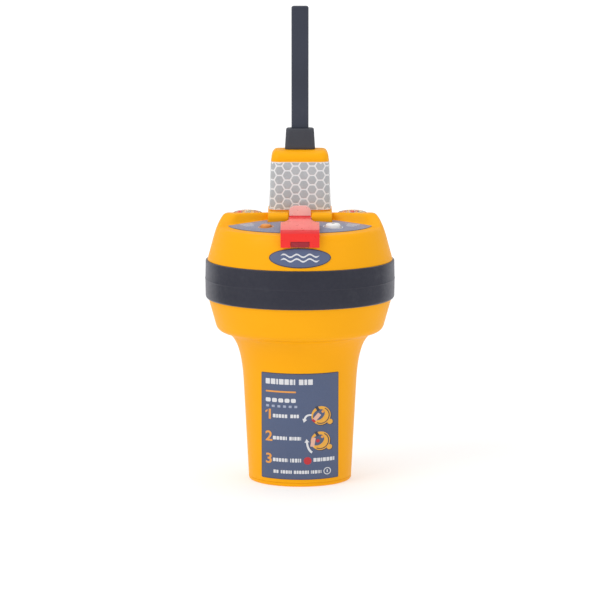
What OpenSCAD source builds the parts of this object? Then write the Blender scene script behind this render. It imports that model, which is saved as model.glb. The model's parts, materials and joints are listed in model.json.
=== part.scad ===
// Emergency position beacon: a floating two-part case with a battery foot,
// a rubber bumper band, an antenna mast with a flexible whip and a guarded
// switch. Millimetres, +Z up, origin at the centre of the base face, the
// front (badge, flap and instruction label) faces -Y.

/* [Case] */
// Overall width across the bumper band
band_w = 106; // [104:0.5:108]
// Depth of the oval plan divided by its width
depth_ratio = 0.9; // [0.87:0.01:0.93]
// Width of the foot at the base
base_w = 57.6; // [57:0.2:58]
// Width of the foot where the flare starts
foot_w = 63; // [62.6:0.1:63.4]
// Wall thickness of the mouldings
wall = 2.6; // [2.4:0.1:2.8]
// Height of the parting plane between the two case halves
seam_z = 113; // [112.5:0.1:113.5]
// Height of the upper edge of the band
band_top = 124.4; // [124.2:0.1:124.6]
// Height of the lower edge of the band
band_bot = 103; // [102.8:0.1:103.4]

/* [Top deck] */
// Height of the keypad deck at its centre
deck_z = 145.8; // [145.7:0.05:145.9]
// Height of the deck at its rim
deck_rim_z = 143.3; // [143.2:0.05:143.4]
// Height of the two rear humps that carry the strobe lenses
hump_z = 149.3; // [149.2:0.05:149.4]
// Backward fall of the tops of the humps, in degrees
hump_fall = 8.5; // [7.5:0.5:9]
// Lean of the front faces of the humps, in degrees
hump_lean = 26; // [22:1:30]
// Width of the oval strobe lens
lens_w = 16.4; // [15.6:0.2:16.6]
// Depth of the oval strobe lens
lens_d = 11.2; // [10.8:0.1:11.4]

/* [Mast and whip] */
// Width of the mast at its foot
mast_w = 34; // [33.6:0.2:34.4]
// Front to back depth of the mast at its foot
mast_d = 24; // [23:0.5:24.5]
// Height of the top of the mast
mast_top = 184; // [183:0.5:185]
// Width of the whip blade
whip_w = 9.6; // [9:0.1:10]
// Thickness of the whip blade
whip_t = 3.2; // [3:0.1:3.4]
// Height of the tip of the whip
tip_z = 264; // [262:1:272]

/* [Flap] */
// Width of the flap
flap_w = 21.2; // [20.8:0.2:21.6]
// Width of the tongue and neck between the knuckles
tongue_w = 12; // [11.6:0.1:12.2]
// Diameter of the hinge pin
pin_d = 1.8; // [1.6:0.1:2]
// Radial clearance of the flap on its pin
pin_gap = 0.06; // [0.04:0.01:0.09]

/* [Controls] */
// Diameter of the guarded switch under the flap
switch_d = 11; // [10:0.5:12]
// Diameter of the test button
test_d = 8.4; // [8:0.2:8.8]
// Diameter of the status light window
light_d = 6.2; // [6:0.2:6.6]

/* [Rear of the foot] */
// Width of the lanyard pocket
pocket_w = 30; // [28:0.5:31]
// Bore of the lanyard eye
eye_d = 5; // [4.6:0.2:5.2]

/* [Hidden] */
$fn = 64;

// Colours shared by several pieces
yellow = [0.96, 0.63, 0.06];
rubber = [0.17, 0.18, 0.22];
blue = [0.24, 0.30, 0.46];
steel = [0.78, 0.79, 0.80];
board_green = [0.07, 0.33, 0.22];
seal_grey = "dimgray";
tab_red = [0.55, 0.12, 0.14];

// Case; radii are measured along X, before the squeeze in depth
base_r = base_w/2;
foot_r = foot_w/2;
recess_r = band_w/2 - 1.9;  // seat of the bumper band
cap_h = 2.2;                // visible height of the base cap
case_z0 = cap_h + 0.1;      // lower edge of the lower case
flare_z = 54;
wall_foot_r = 51.6;         // upper case wall just above the band
wall_foot_z = band_top + 0.1;
seal_r0 = 47.9;
seal_r1 = 49.3;
case_screw_z = 108.6;
spigot_r = base_r - wall - 0.1;  // part of the base cap inside the foot
base_screw_x = 14.3;
base_screw_y = 16.1;

// Deck, humps and mast plinth
deck_flat_r = 12;
deck_rim_r = 43;
hump_r = 37;
lens_x = 29.3;
lens_y = 12.9;
plinth_w = 35.8;
slot_w = 12.6;      // gap between the hinge knuckles
knuckle_w = (plinth_w - slot_w)/2;
knuckle_r = 3.5;
seat_z = 150.2;     // top of the plinth
mast_y = 20.3;

// Whip
root_top = mast_top + 15;
segment_h = (tip_z - root_top)/4;

// Hinge axis and controls
axis_y = -1;
axis_z = 147.2;
barrel_r = 2.3;
switch_y = -28;
test_x = 18.2;
light_x = -test_x - 0.6;
key_y = -17;        // test button and status light

// Pocket and lanyard eye
pocket_y = 17;
pocket_z0 = 8;
pocket_z1 = 60;
eye_y = 21.6;
eye_z = 13.6;

// Electronics and battery
board_z0 = 134.1;
board_z1 = 135.7;
on_board_z = board_z1 + 0.02;
posts = [[-22, -6], [22, -6], [-14, 27], [14, 27]];  // board posts, x and y
cell_y = -3.5;
cell_pitch = 17.3;
lead_x = 4;
lead_y = -8;

// ---- Helpers ----

// Quadratic curve from start to end; first = 1 leaves out the start point.
function curve(start, control, end, steps, first = 0) =
  [for (i = [first:steps]) let (t = i / steps)
    start*(1 - t)*(1 - t) + control*2*t*(1 - t) + end*t*t];
function flip(points) = [for (i = [len(points) - 1:-1:0]) points[i]];
// Reach of a radius along one of the four main directions of the oval plan.
function plan_reach(radius, angle) = (angle % 180 == 0 ? 1 : depth_ratio)*radius;
// Outer radius of the upper case wall at height z.
function wall_radius(z) = wall_foot_r - (z - wall_foot_z)*0.272;

// Body of revolution squeezed in depth, which gives the oval plan.
module oval(points, ratio = depth_ratio, sides = 96)
  for (a = [0, 180]) scale([1, ratio, 1]) rotate([0, 0, a])
    rotate_extrude(angle = 180, $fn = sides) polygon(points);

module oval_ring(r0, r1, z0, z1) oval([[r0, z0], [r1, z0], [r1, z1], [r0, z1]]);

// Upright block with rounded corners.
module rounded(width, depth, r, h) hull() for (x = [-1, 1]) for (y = [-1, 1])
  translate([x*(width/2 - r), y*(depth/2 - r), 0]) cylinder(r = r, h = h, $fn = 32);

// Cylinder along X, centred on x = 0.
module rod_x(y, z, diameter, length)
  translate([-length/2, y, z]) rotate([0, 90, 0]) cylinder(d = diameter, h = length);

// Extrudes a (y, z) profile along X, centred on x = 0.
module extrude_x(width)
  translate([-width/2, 0, 0]) rotate([90, 0, 90]) linear_extrude(width) children();

// Screw with its head face at z = 0 and its shank pointing up.
module cap_screw(shank_d, head_d, head_h, length) {
  overlap = 0.01;
  difference() {
    cylinder(d = head_d, h = head_h);
    translate([0, 0, -overlap]) cylinder(d = shank_d*0.8, h = head_h*0.6, $fn = 6);
  }
  translate([0, 0, head_h - overlap]) cylinder(d = shank_d, h = length);
}

module at_base_screws(z) for (x = [-1, 1]) for (y = [-1, 1])
  translate([x*base_screw_x, y*base_screw_y, z]) children();
module at_posts(z) for (p = posts) translate([p[0], p[1], z]) children();
module at_lenses() for (s = [-1, 1]) translate([s*lens_x, lens_y, 0]) children();
module at_leads(z) for (x = [-lead_x, lead_x]) translate([x, lead_y, z]) children();
// Water contacts, with local Z pointing to the rear.
module at_contacts() for (x = [-10, 10]) translate([x, 38, 95]) rotate([-90, 0, 0]) children();

// ---- Lower case ----

// Outer and inner lines of the foot and bowl, from the base up (radius, z)
flare = curve([foot_r, flare_z], [foot_r + 0.7, 70], [foot_r + 4.1, 77.5], 6, first = 1);
foot_line = concat([[base_r + 0.02, case_z0], [foot_r, flare_z]], flare,
  curve([35.6, 77.5], [38.6, 83.6], [42.8, 84.2], 4, first = 1),
  curve([42.8, 84.2], [46.4, 84.8], [47.2, 88.8], 4, first = 1));
bowl_line = concat(foot_line,
  [[50.8, 101.8], [recess_r, band_bot - 0.1], [recess_r, seam_z]]);
inner_foot_r = foot_r - wall;
bowl_inner = concat([[base_r - wall, case_z0], [inner_foot_r, flare_z]],
  curve([inner_foot_r, flare_z], [inner_foot_r + 0.8, 71], [foot_r + 2.2, 80], 4, first = 1),
  curve([33.7, 80], [36.4, 86], [41.5, 86.8], 3, first = 1),
  [[44.6, 90], [47.9, 102], [47.9, 104], [46, 106], [46, seam_z]]);

// Walls round the pocket, trimmed to the outside of the foot.
module pocket_walls() intersection() {
  oval(concat([[0, case_z0]], foot_line, [[0, 88.8]]));
  translate([-pocket_w/2 - 2.2, pocket_y - 2.4, pocket_z0 - 2.4])
    cube([pocket_w + 4.4, 30, pocket_z1 - pocket_z0 + 4.8]);
}

// Pocket void, leaving the lug of the lanyard eye and a cross bar near the top.
module pocket_void() difference() {
  translate([-pocket_w/2, pocket_y, pocket_z0]) cube([pocket_w, 30, pocket_z1 - pocket_z0]);
  translate([-3, pocket_y - 1, pocket_z0 - 1]) cube([6, eye_y - pocket_y + 1, 11.2]);
  rod_x(eye_y, eye_z, 9.2, 6);
  rod_x(20.4, 56, 3.6, pocket_w + 2);
}

// Bosses of the base screws, each with an arm out to the wall.
module base_bosses() for (x = [-1, 1]) for (y = [-1, 1])
  translate([x*base_screw_x, y*base_screw_y, 5.7]) {
    cylinder(d = 6, h = 2.4);
    rotate([0, 0, atan2(y*base_screw_y, x*base_screw_x)])
      translate([0, -3, 0]) cube([4.2, 6, 2.4]);
  }

module case_screw_hole(angle) rotate([0, 0, angle]) translate([0, 0, case_screw_z])
  rotate([0, 90, 0]) {
    cylinder(d = 3.2, h = 60);
    translate([0, 0, plan_reach(recess_r, angle) - 1.6]) cylinder(d = 5.8, h = 10);
  }

module lower_case() color(yellow) difference() {
  union() {
    oval(concat(bowl_line, flip(bowl_inner)));
    pocket_walls();
    base_bosses();
  }
  pocket_void();
  rod_x(eye_y, eye_z, eye_d, 8);
  // groove for the case seal
  oval_ring(seal_r0 - 0.1, seal_r1 + 0.1, seam_z - 1.4, seam_z + 1);
  for (a = [0:90:270]) case_screw_hole(a);
  at_base_screws(0) cylinder(d = 2.1, h = 7.4);
  at_contacts() {
    cylinder(d = 4.04, h = 12);
    translate([0, 0, 4.5]) cylinder(d = 6.6, h = 12);
  }
}

// ---- Upper case ----

// Both humps; inset shrinks them to give their hollow.
module humps(inset) {
  top_z = hump_z - inset;
  for (s = [-1, 1]) difference() {
    intersection() {
      oval(concat([[0, 128], [wall_radius(128) - inset, 128]],
        curve([wall_radius(141.9) - inset, 141.9], [45.6 - inset, top_z - 2.2],
          [hump_r - inset, top_z], 6),
        [[0, top_z + 0.2]]));
      translate([s > 0 ? 0 : -70, -30, 120]) cube([70, 90, 60]);
    }
    // leaning front face
    translate([s*29.25, 1.75 + inset*1.2, 143.9]) rotate([0, 0, -s*27])
      rotate([-hump_lean, 0, 0]) translate([-70, -90, -90]) cube([140, 90, 180]);
    // the top falls away to the rear
    translate([-80, 9, top_z]) rotate([-hump_fall, 0, 0]) cube([160, 80, 20]);
  }
}

// Hinge knuckle, running in +X from x = 0, with a web back into the plinth.
module knuckle() translate([0, axis_y + 0.4, axis_z]) rotate([90, 0, 90])
  linear_extrude(knuckle_w) union() {
    circle(r = knuckle_r, $fn = 48);
    translate([-knuckle_r, -6]) square([2*knuckle_r, 6]);
    translate([0, -6]) square([9, 9]);
  }

// Hollow under the deck, leaving the board posts and room for the screw ears.
module deck_cavity() difference() {
  oval(concat([[0, seam_z - 1], [47.9, seam_z - 1], [48.6, 120],
    [wall_radius(124.5) - wall, 124.5], [wall_radius(139) - wall, 139],
    [41.4, deck_rim_z - wall - 0.2], [deck_flat_r, deck_z - wall - 0.5],
    [0, deck_z - wall - 0.5]]));
  at_posts(136.1) cylinder(d = 6, h = 12);
  for (a = [0:90:270]) rotate([0, 0, a])
    translate([plan_reach(42, a), -4.5, seam_z - 2]) cube([9, 9, 8]);
}

module upper_shell() difference() {
  union() {
    oval(concat([[0, seam_z + 0.1], [recess_r, seam_z + 0.1], [recess_r, wall_foot_z],
      [wall_foot_r, wall_foot_z]],
      curve([wall_radius(140.2), 140.2], [46.2, 143.1], [deck_rim_r, deck_rim_z], 4),
      [[deck_flat_r, deck_z], [0, deck_z]]));
    humps(0);
    // plinth of the mast, with the two hinge knuckles at its front
    translate([-plinth_w/2, 0, 135]) cube([plinth_w, 33, seat_z - 135]);
    for (x = [-plinth_w/2, slot_w/2]) translate([x, 0, 0]) knuckle();
  }
  // slot for the tongue of the flap
  translate([-slot_w/2, -4.2, axis_z - barrel_r - 0.25]) cube([slot_w, 11.2, 20]);
  // flat seat of the mast and recess for its seal
  translate([-plinth_w/2 - 0.5, 7.6, seat_z]) cube([plinth_w + 1, 26, 8]);
  translate([0, mast_y, seat_z - 1.2]) rounded(mast_w - 6.4, mast_d - 6.4, 2.5, 2);
  deck_cavity();
  humps(wall);
  // passage of the antenna cable
  translate([0, mast_y, 130]) cylinder(d = 6, h = 30);
  // hinge pin bore
  rod_x(axis_y, axis_z, pin_d + 0.04, 40);
  // openings for the controls and the strobe lenses
  translate([0, switch_y, 130]) cylinder(d = switch_d + 0.3, h = 30);
  translate([test_x, key_y, 130]) cylinder(d = test_d + 0.3, h = 30);
  translate([light_x, key_y, 130]) cylinder(d = light_d + 0.1, h = 30);
  at_lenses() scale([1, lens_d/lens_w, 1])
    translate([0, 0, 140]) cylinder(d = lens_w + 0.2, h = 20);
  at_posts(135) cylinder(d = 1.7, h = 5);
}

// Skirt ears that the case screws bite into.
module upper_ears() difference() {
  intersection() {
    for (a = [0:90:270]) rotate([0, 0, a])
      translate([plan_reach(40.6, a), -4.5, 104.6]) cube([5, 9, 12]);
    oval([[0, 100], [45.8, 100], [45.8, seam_z + 0.6], [48.3, seam_z + 0.6],
      [48.3, 118], [0, 118]]);
  }
  for (a = [0:90:270]) rotate([0, 0, a]) translate([0, 0, case_screw_z])
    rotate([0, 90, 0]) cylinder(d = 2.96, h = 60);
}

module upper_case() {
  color(yellow) upper_shell();
  color(yellow) upper_ears();
}

// ---- Band, seam and base ----

module bumper_band() color(rubber) oval([[recess_r + 0.06, band_bot],
  [recess_r + 0.4, band_bot], [band_w/2 - 0.3, band_bot + 1.3], [band_w/2 - 0.15, 113.7],
  [band_w/2, 114.1], [band_w/2 - 0.15, 114.5], [band_w/2 - 0.35, band_top - 0.6],
  [band_w/2 - 0.5, band_top], [recess_r + 0.06, band_top]]);

module case_seal() color(seal_grey) oval_ring(seal_r0, seal_r1, seam_z - 1.35, seam_z + 0.08);

module case_screws() color(steel) for (a = [0:90:270]) rotate([0, 0, a])
  translate([plan_reach(recess_r, a) - 0.05, 0, case_screw_z]) rotate([0, -90, 0])
    cap_screw(shank_d = 2.9, head_d = 5.6, head_h = 1.5, length = 5.6);

module base_cap() color(yellow) difference() {
  union() {
    oval(concat([[0, 0], [base_r - 1.4, 0]],
      curve([base_r - 1.2, 0], [base_r, 0], [base_r, 1.3], 3),
      [[base_r, cap_h], [0, cap_h]]));
    // spigot with the seal groove, cleared for the pocket and the battery
    difference() {
      oval([[0, cap_h - 0.5], [spigot_r, cap_h - 0.5], [spigot_r, 3.4],
        [spigot_r - 0.9, 3.4], [spigot_r - 0.9, 4.7], [spigot_r, 4.7],
        [spigot_r, 5.6], [0, 5.6]]);
      translate([-pocket_w/2 - 2.6, pocket_y - 2.8, 5]) cube([pocket_w + 5.2, 30, 5]);
      translate([0, 0, 3.6]) cylinder(r = 14, h = 5);
    }
  }
  at_base_screws(-1) {
    cylinder(d = 2.7, h = 8);
    cylinder(d = 4.6, h = 2.2);
  }
}

module base_seal() color(seal_grey) oval_ring(spigot_r - 0.84, spigot_r + 0.06, 3.46, 4.64);

module base_screws() color(steel) at_base_screws(0.15)
  cap_screw(shank_d = 2, head_d = 4.2, head_h = 1, length = 6);

// ---- Mast and whip ----

// Upper sections of the mast: drop below its top, loss of width, loss of
// depth, corner radius, slab height
mast_sections = [
  [5.4, 1.8, 2, 5, 0.4],
  [3, 2.3, 3.8, 4.6, 0.2],
  [1.3, 3.5, 7.4, 4.2, 0.2],
  [0.1, 6, 13, 3, 0.1]];

// Rounded, tapered block with a radiused top, grown sideways by grow.
module mast_body(grow, top) translate([0, mast_y, 0]) hull() {
  translate([0, 0, seat_z + 0.1 - (grow < 0 ? 2 : 0)])
    rounded(mast_w + 2*grow, mast_d + 2*grow, 5 + grow, 1);
  for (m = mast_sections) translate([0, -0.4, top - m[0]])
    rounded(mast_w - m[1] + 2*grow, mast_d - m[2] + 2*grow, m[3] + grow, m[4]);
}

// Straight length of the whip blade, or with a gap the slot that takes it.
module whip_blade(z, height, gap = 0)
  translate([-whip_w/2 - gap, mast_y - whip_t/2 - gap, z])
    cube([whip_w + 2*gap, whip_t + 2*gap, height]);

module antenna_mast() color(yellow) difference() {
  mast_body(0, mast_top);
  mast_body(-2.4, mast_top - 2.4);
  whip_blade(mast_top - 10, 20, gap = 0.1);
}

module mast_seal() color(seal_grey) translate([0, mast_y, seat_z - 1.15]) difference() {
  rounded(mast_w - 6.6, mast_d - 6.6, 2.4, 1.15);
  translate([0, 0, -1]) rounded(mast_w - 10.6, mast_d - 10.6, 1.5, 4);
}

// Retroreflective wrap round the front and sides of the mast.
module reflective_tape() color([0.75, 0.76, 0.78]) intersection() {
  difference() {
    mast_body(0.34, mast_top + 0.3);
    mast_body(0.04, mast_top);
  }
  translate([-30, mast_y - 30, 150.9]) cube([60, 30 + mast_d/2 - 5, 26.8]);
}

module antenna_boot() color(rubber) difference() {
  hull() {
    translate([0, mast_y, mast_top + 0.05]) rounded(17, 10, 2.5, 1);
    translate([0, mast_y, mast_top + 10.9]) rounded(15.6, 7.6, 2.2, 0.8);
  }
  whip_blade(mast_top - 2, 20, gap = 0.1);
}

module whip_root() color(rubber) whip_blade(mast_top - 12, root_top - mast_top + 12);

// One quarter of the free whip, with a rounded lower end.
module whip_piece(i) color(rubber) {
  z = root_top + 0.05 + whip_t/2 + i*segment_h;
  rod_x(mast_y, z, whip_t, whip_w, $fn = 32);
  whip_blade(z, segment_h - whip_t/2 - 0.05);
}
module whip_segment_1() whip_piece(0);
module whip_segment_2() whip_piece(1);
module whip_segment_3() whip_piece(2);
module whip_tip() whip_piece(3);

module antenna_cable() color([0.1, 0.1, 0.1]) translate([0, mast_y, board_z1])
  cylinder(d = 2.6, h = mast_top - 12 - board_z1 - 0.05);

// ---- Flap ----

// Plan of the flap (x, y): the tongue widens to the cover over curved shoulders
shoulder = [for (a = [0:15:90])
  [tongue_w/2 + (flap_w - tongue_w)/2*(1 - cos(a)), -6 - 13*sin(a)]];
flap_plan = concat([[tongue_w/2, 2]], shoulder, [[flap_w/2, -50], [-flap_w/2, -50]],
  [for (p = flip(shoulder)) [-p[0], p[1]]], [[-tongue_w/2, 2]]);

// Side view of the cover plate and front skirt (y, z)
flap_side = [[axis_y, 148.4], [-14, 148.0], [-36.5, 147.1], [-42.4, 146.6],
  [-43.5, 146.1], [-44.1, 145.2], [-45.6, 137.3], [-44, 137.3], [-42.6, 144.6],
  [-41.6, 145.1], [-36, 145.4], [-14, 146.35], [-4.2, 146.6], [-3.2, 146.6],
  [axis_y, 146.6]];

// Front view of the neck above the barrel (x, z)
neck_front = [[-tongue_w/2, axis_z], [tongue_w/2, axis_z], [tongue_w/2, 152.2],
  [tongue_w/2 - 0.9, 153.5], [tongue_w/2 - 2.6, 154.5], [-tongue_w/2 + 2.6, 154.5],
  [-tongue_w/2 + 0.9, 153.5], [-tongue_w/2, 152.2]];

// Guard flap: tongue, barrel, neck, cover plate and front skirt in one moulding.
module flap() color([0.90, 0.16, 0.15]) difference() {
  union() {
    rod_x(axis_y, axis_z, 2*barrel_r, tongue_w);
    translate([0, 0.6, 0]) rotate([90, 0, 0]) linear_extrude(3) polygon(neck_front);
    intersection() {
      translate([0, 0, 130]) linear_extrude(30) polygon(flap_plan);
      extrude_x(40) polygon(flap_side);
    }
  }
  rod_x(axis_y, axis_z, pin_d + 2*pin_gap, 20);
  // notch of the break tab
  translate([-5.2, -50, 136]) cube([10.4, 20, 4.5]);
}

module flap_pin() color(steel) rod_x(axis_y, axis_z, pin_d, 34.8);

// Tab in the notch of the skirt, with a row of small upright holes.
module break_tab() color(tab_red) difference() {
  extrude_x(10) polygon([[-44.65, 140.4], [-45.2, 137.4], [-43.95, 137.4], [-43.4, 140.4]]);
  for (x = [-5:2.5:5]) translate([x, -45.4, 136]) cylinder(d = 0.7, h = 6, $fn = 16);
}

// Small stub on the case wall that the break tab bridges to.
module tab_anchor() {
  low_y = -wall_radius(138)*depth_ratio;
  high_y = -wall_radius(139.6)*depth_ratio;
  color(tab_red) extrude_x(4) polygon([[low_y - 0.03, 138], [low_y - 0.33, 138],
    [high_y - 0.33, 139.6], [high_y - 0.03, 139.6]]);
}

// ---- Labels ----

// Plan of the keypad label, clear of the humps, the plinth and the controls.
module keypad_plan() difference() {
  intersection() {
    scale([40.2, 34.6]) circle(r = 1, $fn = 96);
    union() for (s = [-1, 1])
      polygon([[0, -50], [s*44, -50], [s*44, -7], [s*29.25, 0.6], [s*18.3, 6], [0, 6]]);
  }
  translate([-plinth_w/2 - 0.2, -4.4]) square([plinth_w + 0.4, 20]);
  translate([0, switch_y]) circle(d = switch_d + 0.8);
  translate([test_x, key_y]) circle(d = test_d + 0.8);
  translate([light_x, key_y]) circle(d = light_d + 0.8);
}

module keypad_label() color(blue) intersection() {
  oval([[0, deck_z + 0.02], [deck_flat_r, deck_z + 0.02], [deck_rim_r, deck_rim_z + 0.02],
    [deck_rim_r, deck_rim_z + 0.32], [deck_flat_r, deck_z + 0.32], [0, deck_z + 0.32]]);
  translate([0, 0, 130]) linear_extrude(30) keypad_plan();
}

badge_w = 33.6;
badge_h = 10.6;
module front_badge() color(blue) intersection() {
  oval([[wall_radius(125) + 0.04, 125], [wall_radius(125) + 0.45, 125],
    [wall_radius(138) + 0.45, 138], [wall_radius(138) + 0.04, 138]]);
  translate([0, -30, 131.4]) rotate([90, 0, 0]) linear_extrude(30)
    scale([badge_w/badge_h, 1]) circle(d = badge_h, $fn = 64);
}

// Back face of the instruction label, just off the foot (radius, z)
label_back = concat([[base_r + 0.06, case_z0], [foot_r + 0.04, flare_z]],
  [for (p = flare) if (p[1] < 70) [p[0] + 0.04, p[1]]]);
label_w = 42.4;
label_h = 60.4;
corner_r = 0.6;
module instruction_label() color(blue) intersection() {
  oval(concat(label_back, [for (p = flip(label_back)) [p[0] + 0.3, p[1]]]));
  rotate([90, 0, 0]) linear_extrude(60) translate([-label_w/2, 4.3]) union() {
    translate([corner_r, 0]) square([label_w - 2*corner_r, label_h]);
    translate([0, corner_r]) square([label_w, label_h - 2*corner_r]);
    for (x = [corner_r, label_w - corner_r]) for (y = [corner_r, label_h - corner_r])
      translate([x, y]) circle(r = corner_r, $fn = 24);
  }
}

// ---- Controls ----

// Push button: cap, guiding stem and a retaining flange under the deck.
module button(diameter, top, crown) rotate_extrude() polygon(concat(
  [[0, 138.45], [2, 138.45], [2, 139.2], [diameter/2 + 0.9, 139.2],
    [diameter/2 + 0.9, 140.3], [diameter/2, 140.3], [diameter/2, top - crown]],
  curve([diameter/2, top - crown], [diameter/2 - 0.2, top], [diameter/2 - 2.4, top], 4),
  [[0, top]]));

module power_button() color([0.85, 0.10, 0.10]) translate([0, switch_y, 0])
  button(switch_d, top = 145.05, crown = 0.8);

module test_button() color([0.93, 0.93, 0.92]) translate([test_x, key_y, 0])
  button(test_d, top = 146.9, crown = 1.4);

module status_light() {
  r = light_d/2 - 0.03;
  color([0.98, 0.55, 0.12]) translate([light_x, key_y, 0]) rotate_extrude()
    polygon(concat([[0, 138.6], [r, 138.6], [r, 145.3]],
      curve([r, 145.3], [light_d/2 - 0.2, 146.5], [light_d/2 - 1.8, 146.5], 4),
      [[0, 146.5]]));
}

module switch_domes() color([0.75, 0.72, 0.62]) {
  translate([0, switch_y, on_board_z]) cylinder(d1 = 8, d2 = 4, h = 1.8);
  translate([test_x, key_y, on_board_z]) cylinder(d1 = 7, d2 = 3.6, h = 1.8);
}

// ---- Strobes ----

// Domed, hollow lens; side is -1 for left and 1 for right.
module lens(side) {
  r = lens_w/2;
  color([0.9, 0.95, 0.97, 0.5]) translate([side*lens_x, lens_y, 0])
    oval(concat([[r - 1.3, 146.6], [r, 146.6], [r, 148.9]],
      curve([r, 148.9], [r - 1.6, 150.15], [0, 150.4], 5), [[0, 149.4]],
      flip(curve([r - 1.3, 148.4], [r - 2.2, 149.15], [0, 149.4], 4))),
      ratio = lens_d/lens_w, sides = 64);
}
module lens_left() lens(-1);
module lens_right() lens(1);

// Three LEDs under each lens, the middle one white.
module strobe_leds() at_lenses() for (i = [-1:1])
  color(i == 0 ? [0.95, 0.95, 0.85] : [0.9, 0.3, 0.3])
    translate([i*4.4 - 1.5, -1.5, 144.65]) cube([3, 3, 3.5]);

module strobe_boards() color(board_green) at_lenses() {
  translate([-6.6, -3.3, 143.6]) cube([13.2, 6.6, 1]);
  for (x = [-5, 5]) translate([x, 0, on_board_z]) cylinder(d = 2.4, h = 8);
}

// ---- Main board ----

module main_board() color(board_green) difference() {
  oval_ring(0, 40.5, board_z0, board_z1);
  at_posts(130) cylinder(d = 2.3, h = 10);
  at_leads(130) cylinder(d = 3, h = 10);
}

module board_screws() color(steel) at_posts(132.7)
  cap_screw(shank_d = 1.6, head_d = 3.8, head_h = 1.3, length = 5);

// Open-topped can under the board.
module rf_shield() color([0.70, 0.70, 0.68]) translate([-15, -4, 131]) difference() {
  cube([30, 20, 3.05]);
  translate([0.6, 0.6, 0.6]) cube([28.8, 18.8, 4]);
}

module gnss_antenna() color([0.80, 0.74, 0.62]) translate([-9, -17, on_board_z]) {
  cube([18, 18, 4]);
  translate([2, 2, 3.9]) cube([14, 14, 0.3]);
}

module buzzer() color([0.12, 0.12, 0.13]) translate([-24, 14, 128.4]) difference() {
  cylinder(d = 12, h = 5.65);
  translate([0, 0, -1]) cylinder(d = 2, h = 3);
}

// ---- Battery ----

// Two layers of four cells, each with a terminal on top.
module battery_cells() color([0.20, 0.45, 0.62])
  for (x = [-0.5, 0.5]) for (y = [-0.5, 0.5]) for (z = [10.2, 45.4])
    translate([x*cell_pitch, cell_y + y*cell_pitch, z]) {
      cylinder(d = 17, h = 33.6);
      translate([0, 0, 33.5]) cylinder(d = 6, h = 0.9);
    }

// Oval plate cut straight at the rear, in front of the pocket.
module tray_plate(z) intersection() {
  oval_ring(0, 25, z, z + 1.6);
  translate([-30, -30, z - 1]) cube([60, 43.6, 4]);
}

module battery_tray() color([0.15, 0.15, 0.16]) {
  tray_plate(8.2);
  tray_plate(80.2);
  translate([0, cell_y, 9]) cylinder(d = 6, h = 72);
}

module battery_pad() color([0.25, 0.25, 0.27]) difference() {
  translate([0, cell_y, 81.95]) cylinder(d = 34, h = 4);
  at_leads(80) cylinder(d = 3, h = 10);
}

// Red lead on the right, black on the left.
module battery_leads() for (x = [-lead_x, lead_x])
  color(x > 0 ? [0.75, 0.08, 0.08] : [0.08, 0.08, 0.08])
    translate([x, lead_y, 81.85]) cylinder(d = 1.8, h = 53.8);

// ---- Rear of the case ----

module water_contacts() color(steel) at_contacts() {
  translate([0, 0, -1]) cylinder(d = 4, h = 5.6);
  translate([0, 0, 4.55]) cylinder(d = 6, h = 1.2);
}

// Tether line folded into a flat hank.
module lanyard_cord() color([0.93, 0.45, 0.10]) hull()
  for (x = [-1, 1]) for (z = [26, 48]) translate([x*6.6, pocket_y + 0.5, z])
    rotate([-90, 0, 0]) cylinder(r = 5.4, h = 4.6, $fn = 32);

// Elastic band that holds the hank.
module lanyard_band() color(rubber) translate([0, pocket_y, 33]) difference() {
  translate([-13.2, 0.05, 0]) cube([26.4, 5.9, 8]);
  translate([-12.2, 0.4, -1]) cube([24.4, 4.85, 10]);
}

upper_case();
lower_case();
bumper_band();
case_seal();
case_screws();
base_cap();
base_seal();
base_screws();
antenna_mast();
mast_seal();
reflective_tape();
antenna_boot();
whip_root();
whip_segment_1();
whip_segment_2();
whip_segment_3();
whip_tip();
antenna_cable();
flap();
flap_pin();
break_tab();
tab_anchor();
keypad_label();
front_badge();
instruction_label();
power_button();
test_button();
status_light();
switch_domes();
lens_left();
lens_right();
strobe_leds();
strobe_boards();
main_board();
board_screws();
rf_shield();
gnss_antenna();
buzzer();
battery_cells();
battery_tray();
battery_pad();
battery_leads();
water_contacts();
lanyard_cord();
lanyard_band();
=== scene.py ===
"""Handheld radio beacon with two strobe lenses, standing upright on the floor.

Its front faces -y, x runs across it and z is up, with the origin on the floor under its middle.
The case is a body of revolution squeezed in y. Sizes are in mm; the scene is in metres.
"""
import json
import math
from contextlib import contextmanager

import bmesh
import bpy
import numpy as np
from mathutils import Matrix, Vector

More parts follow.
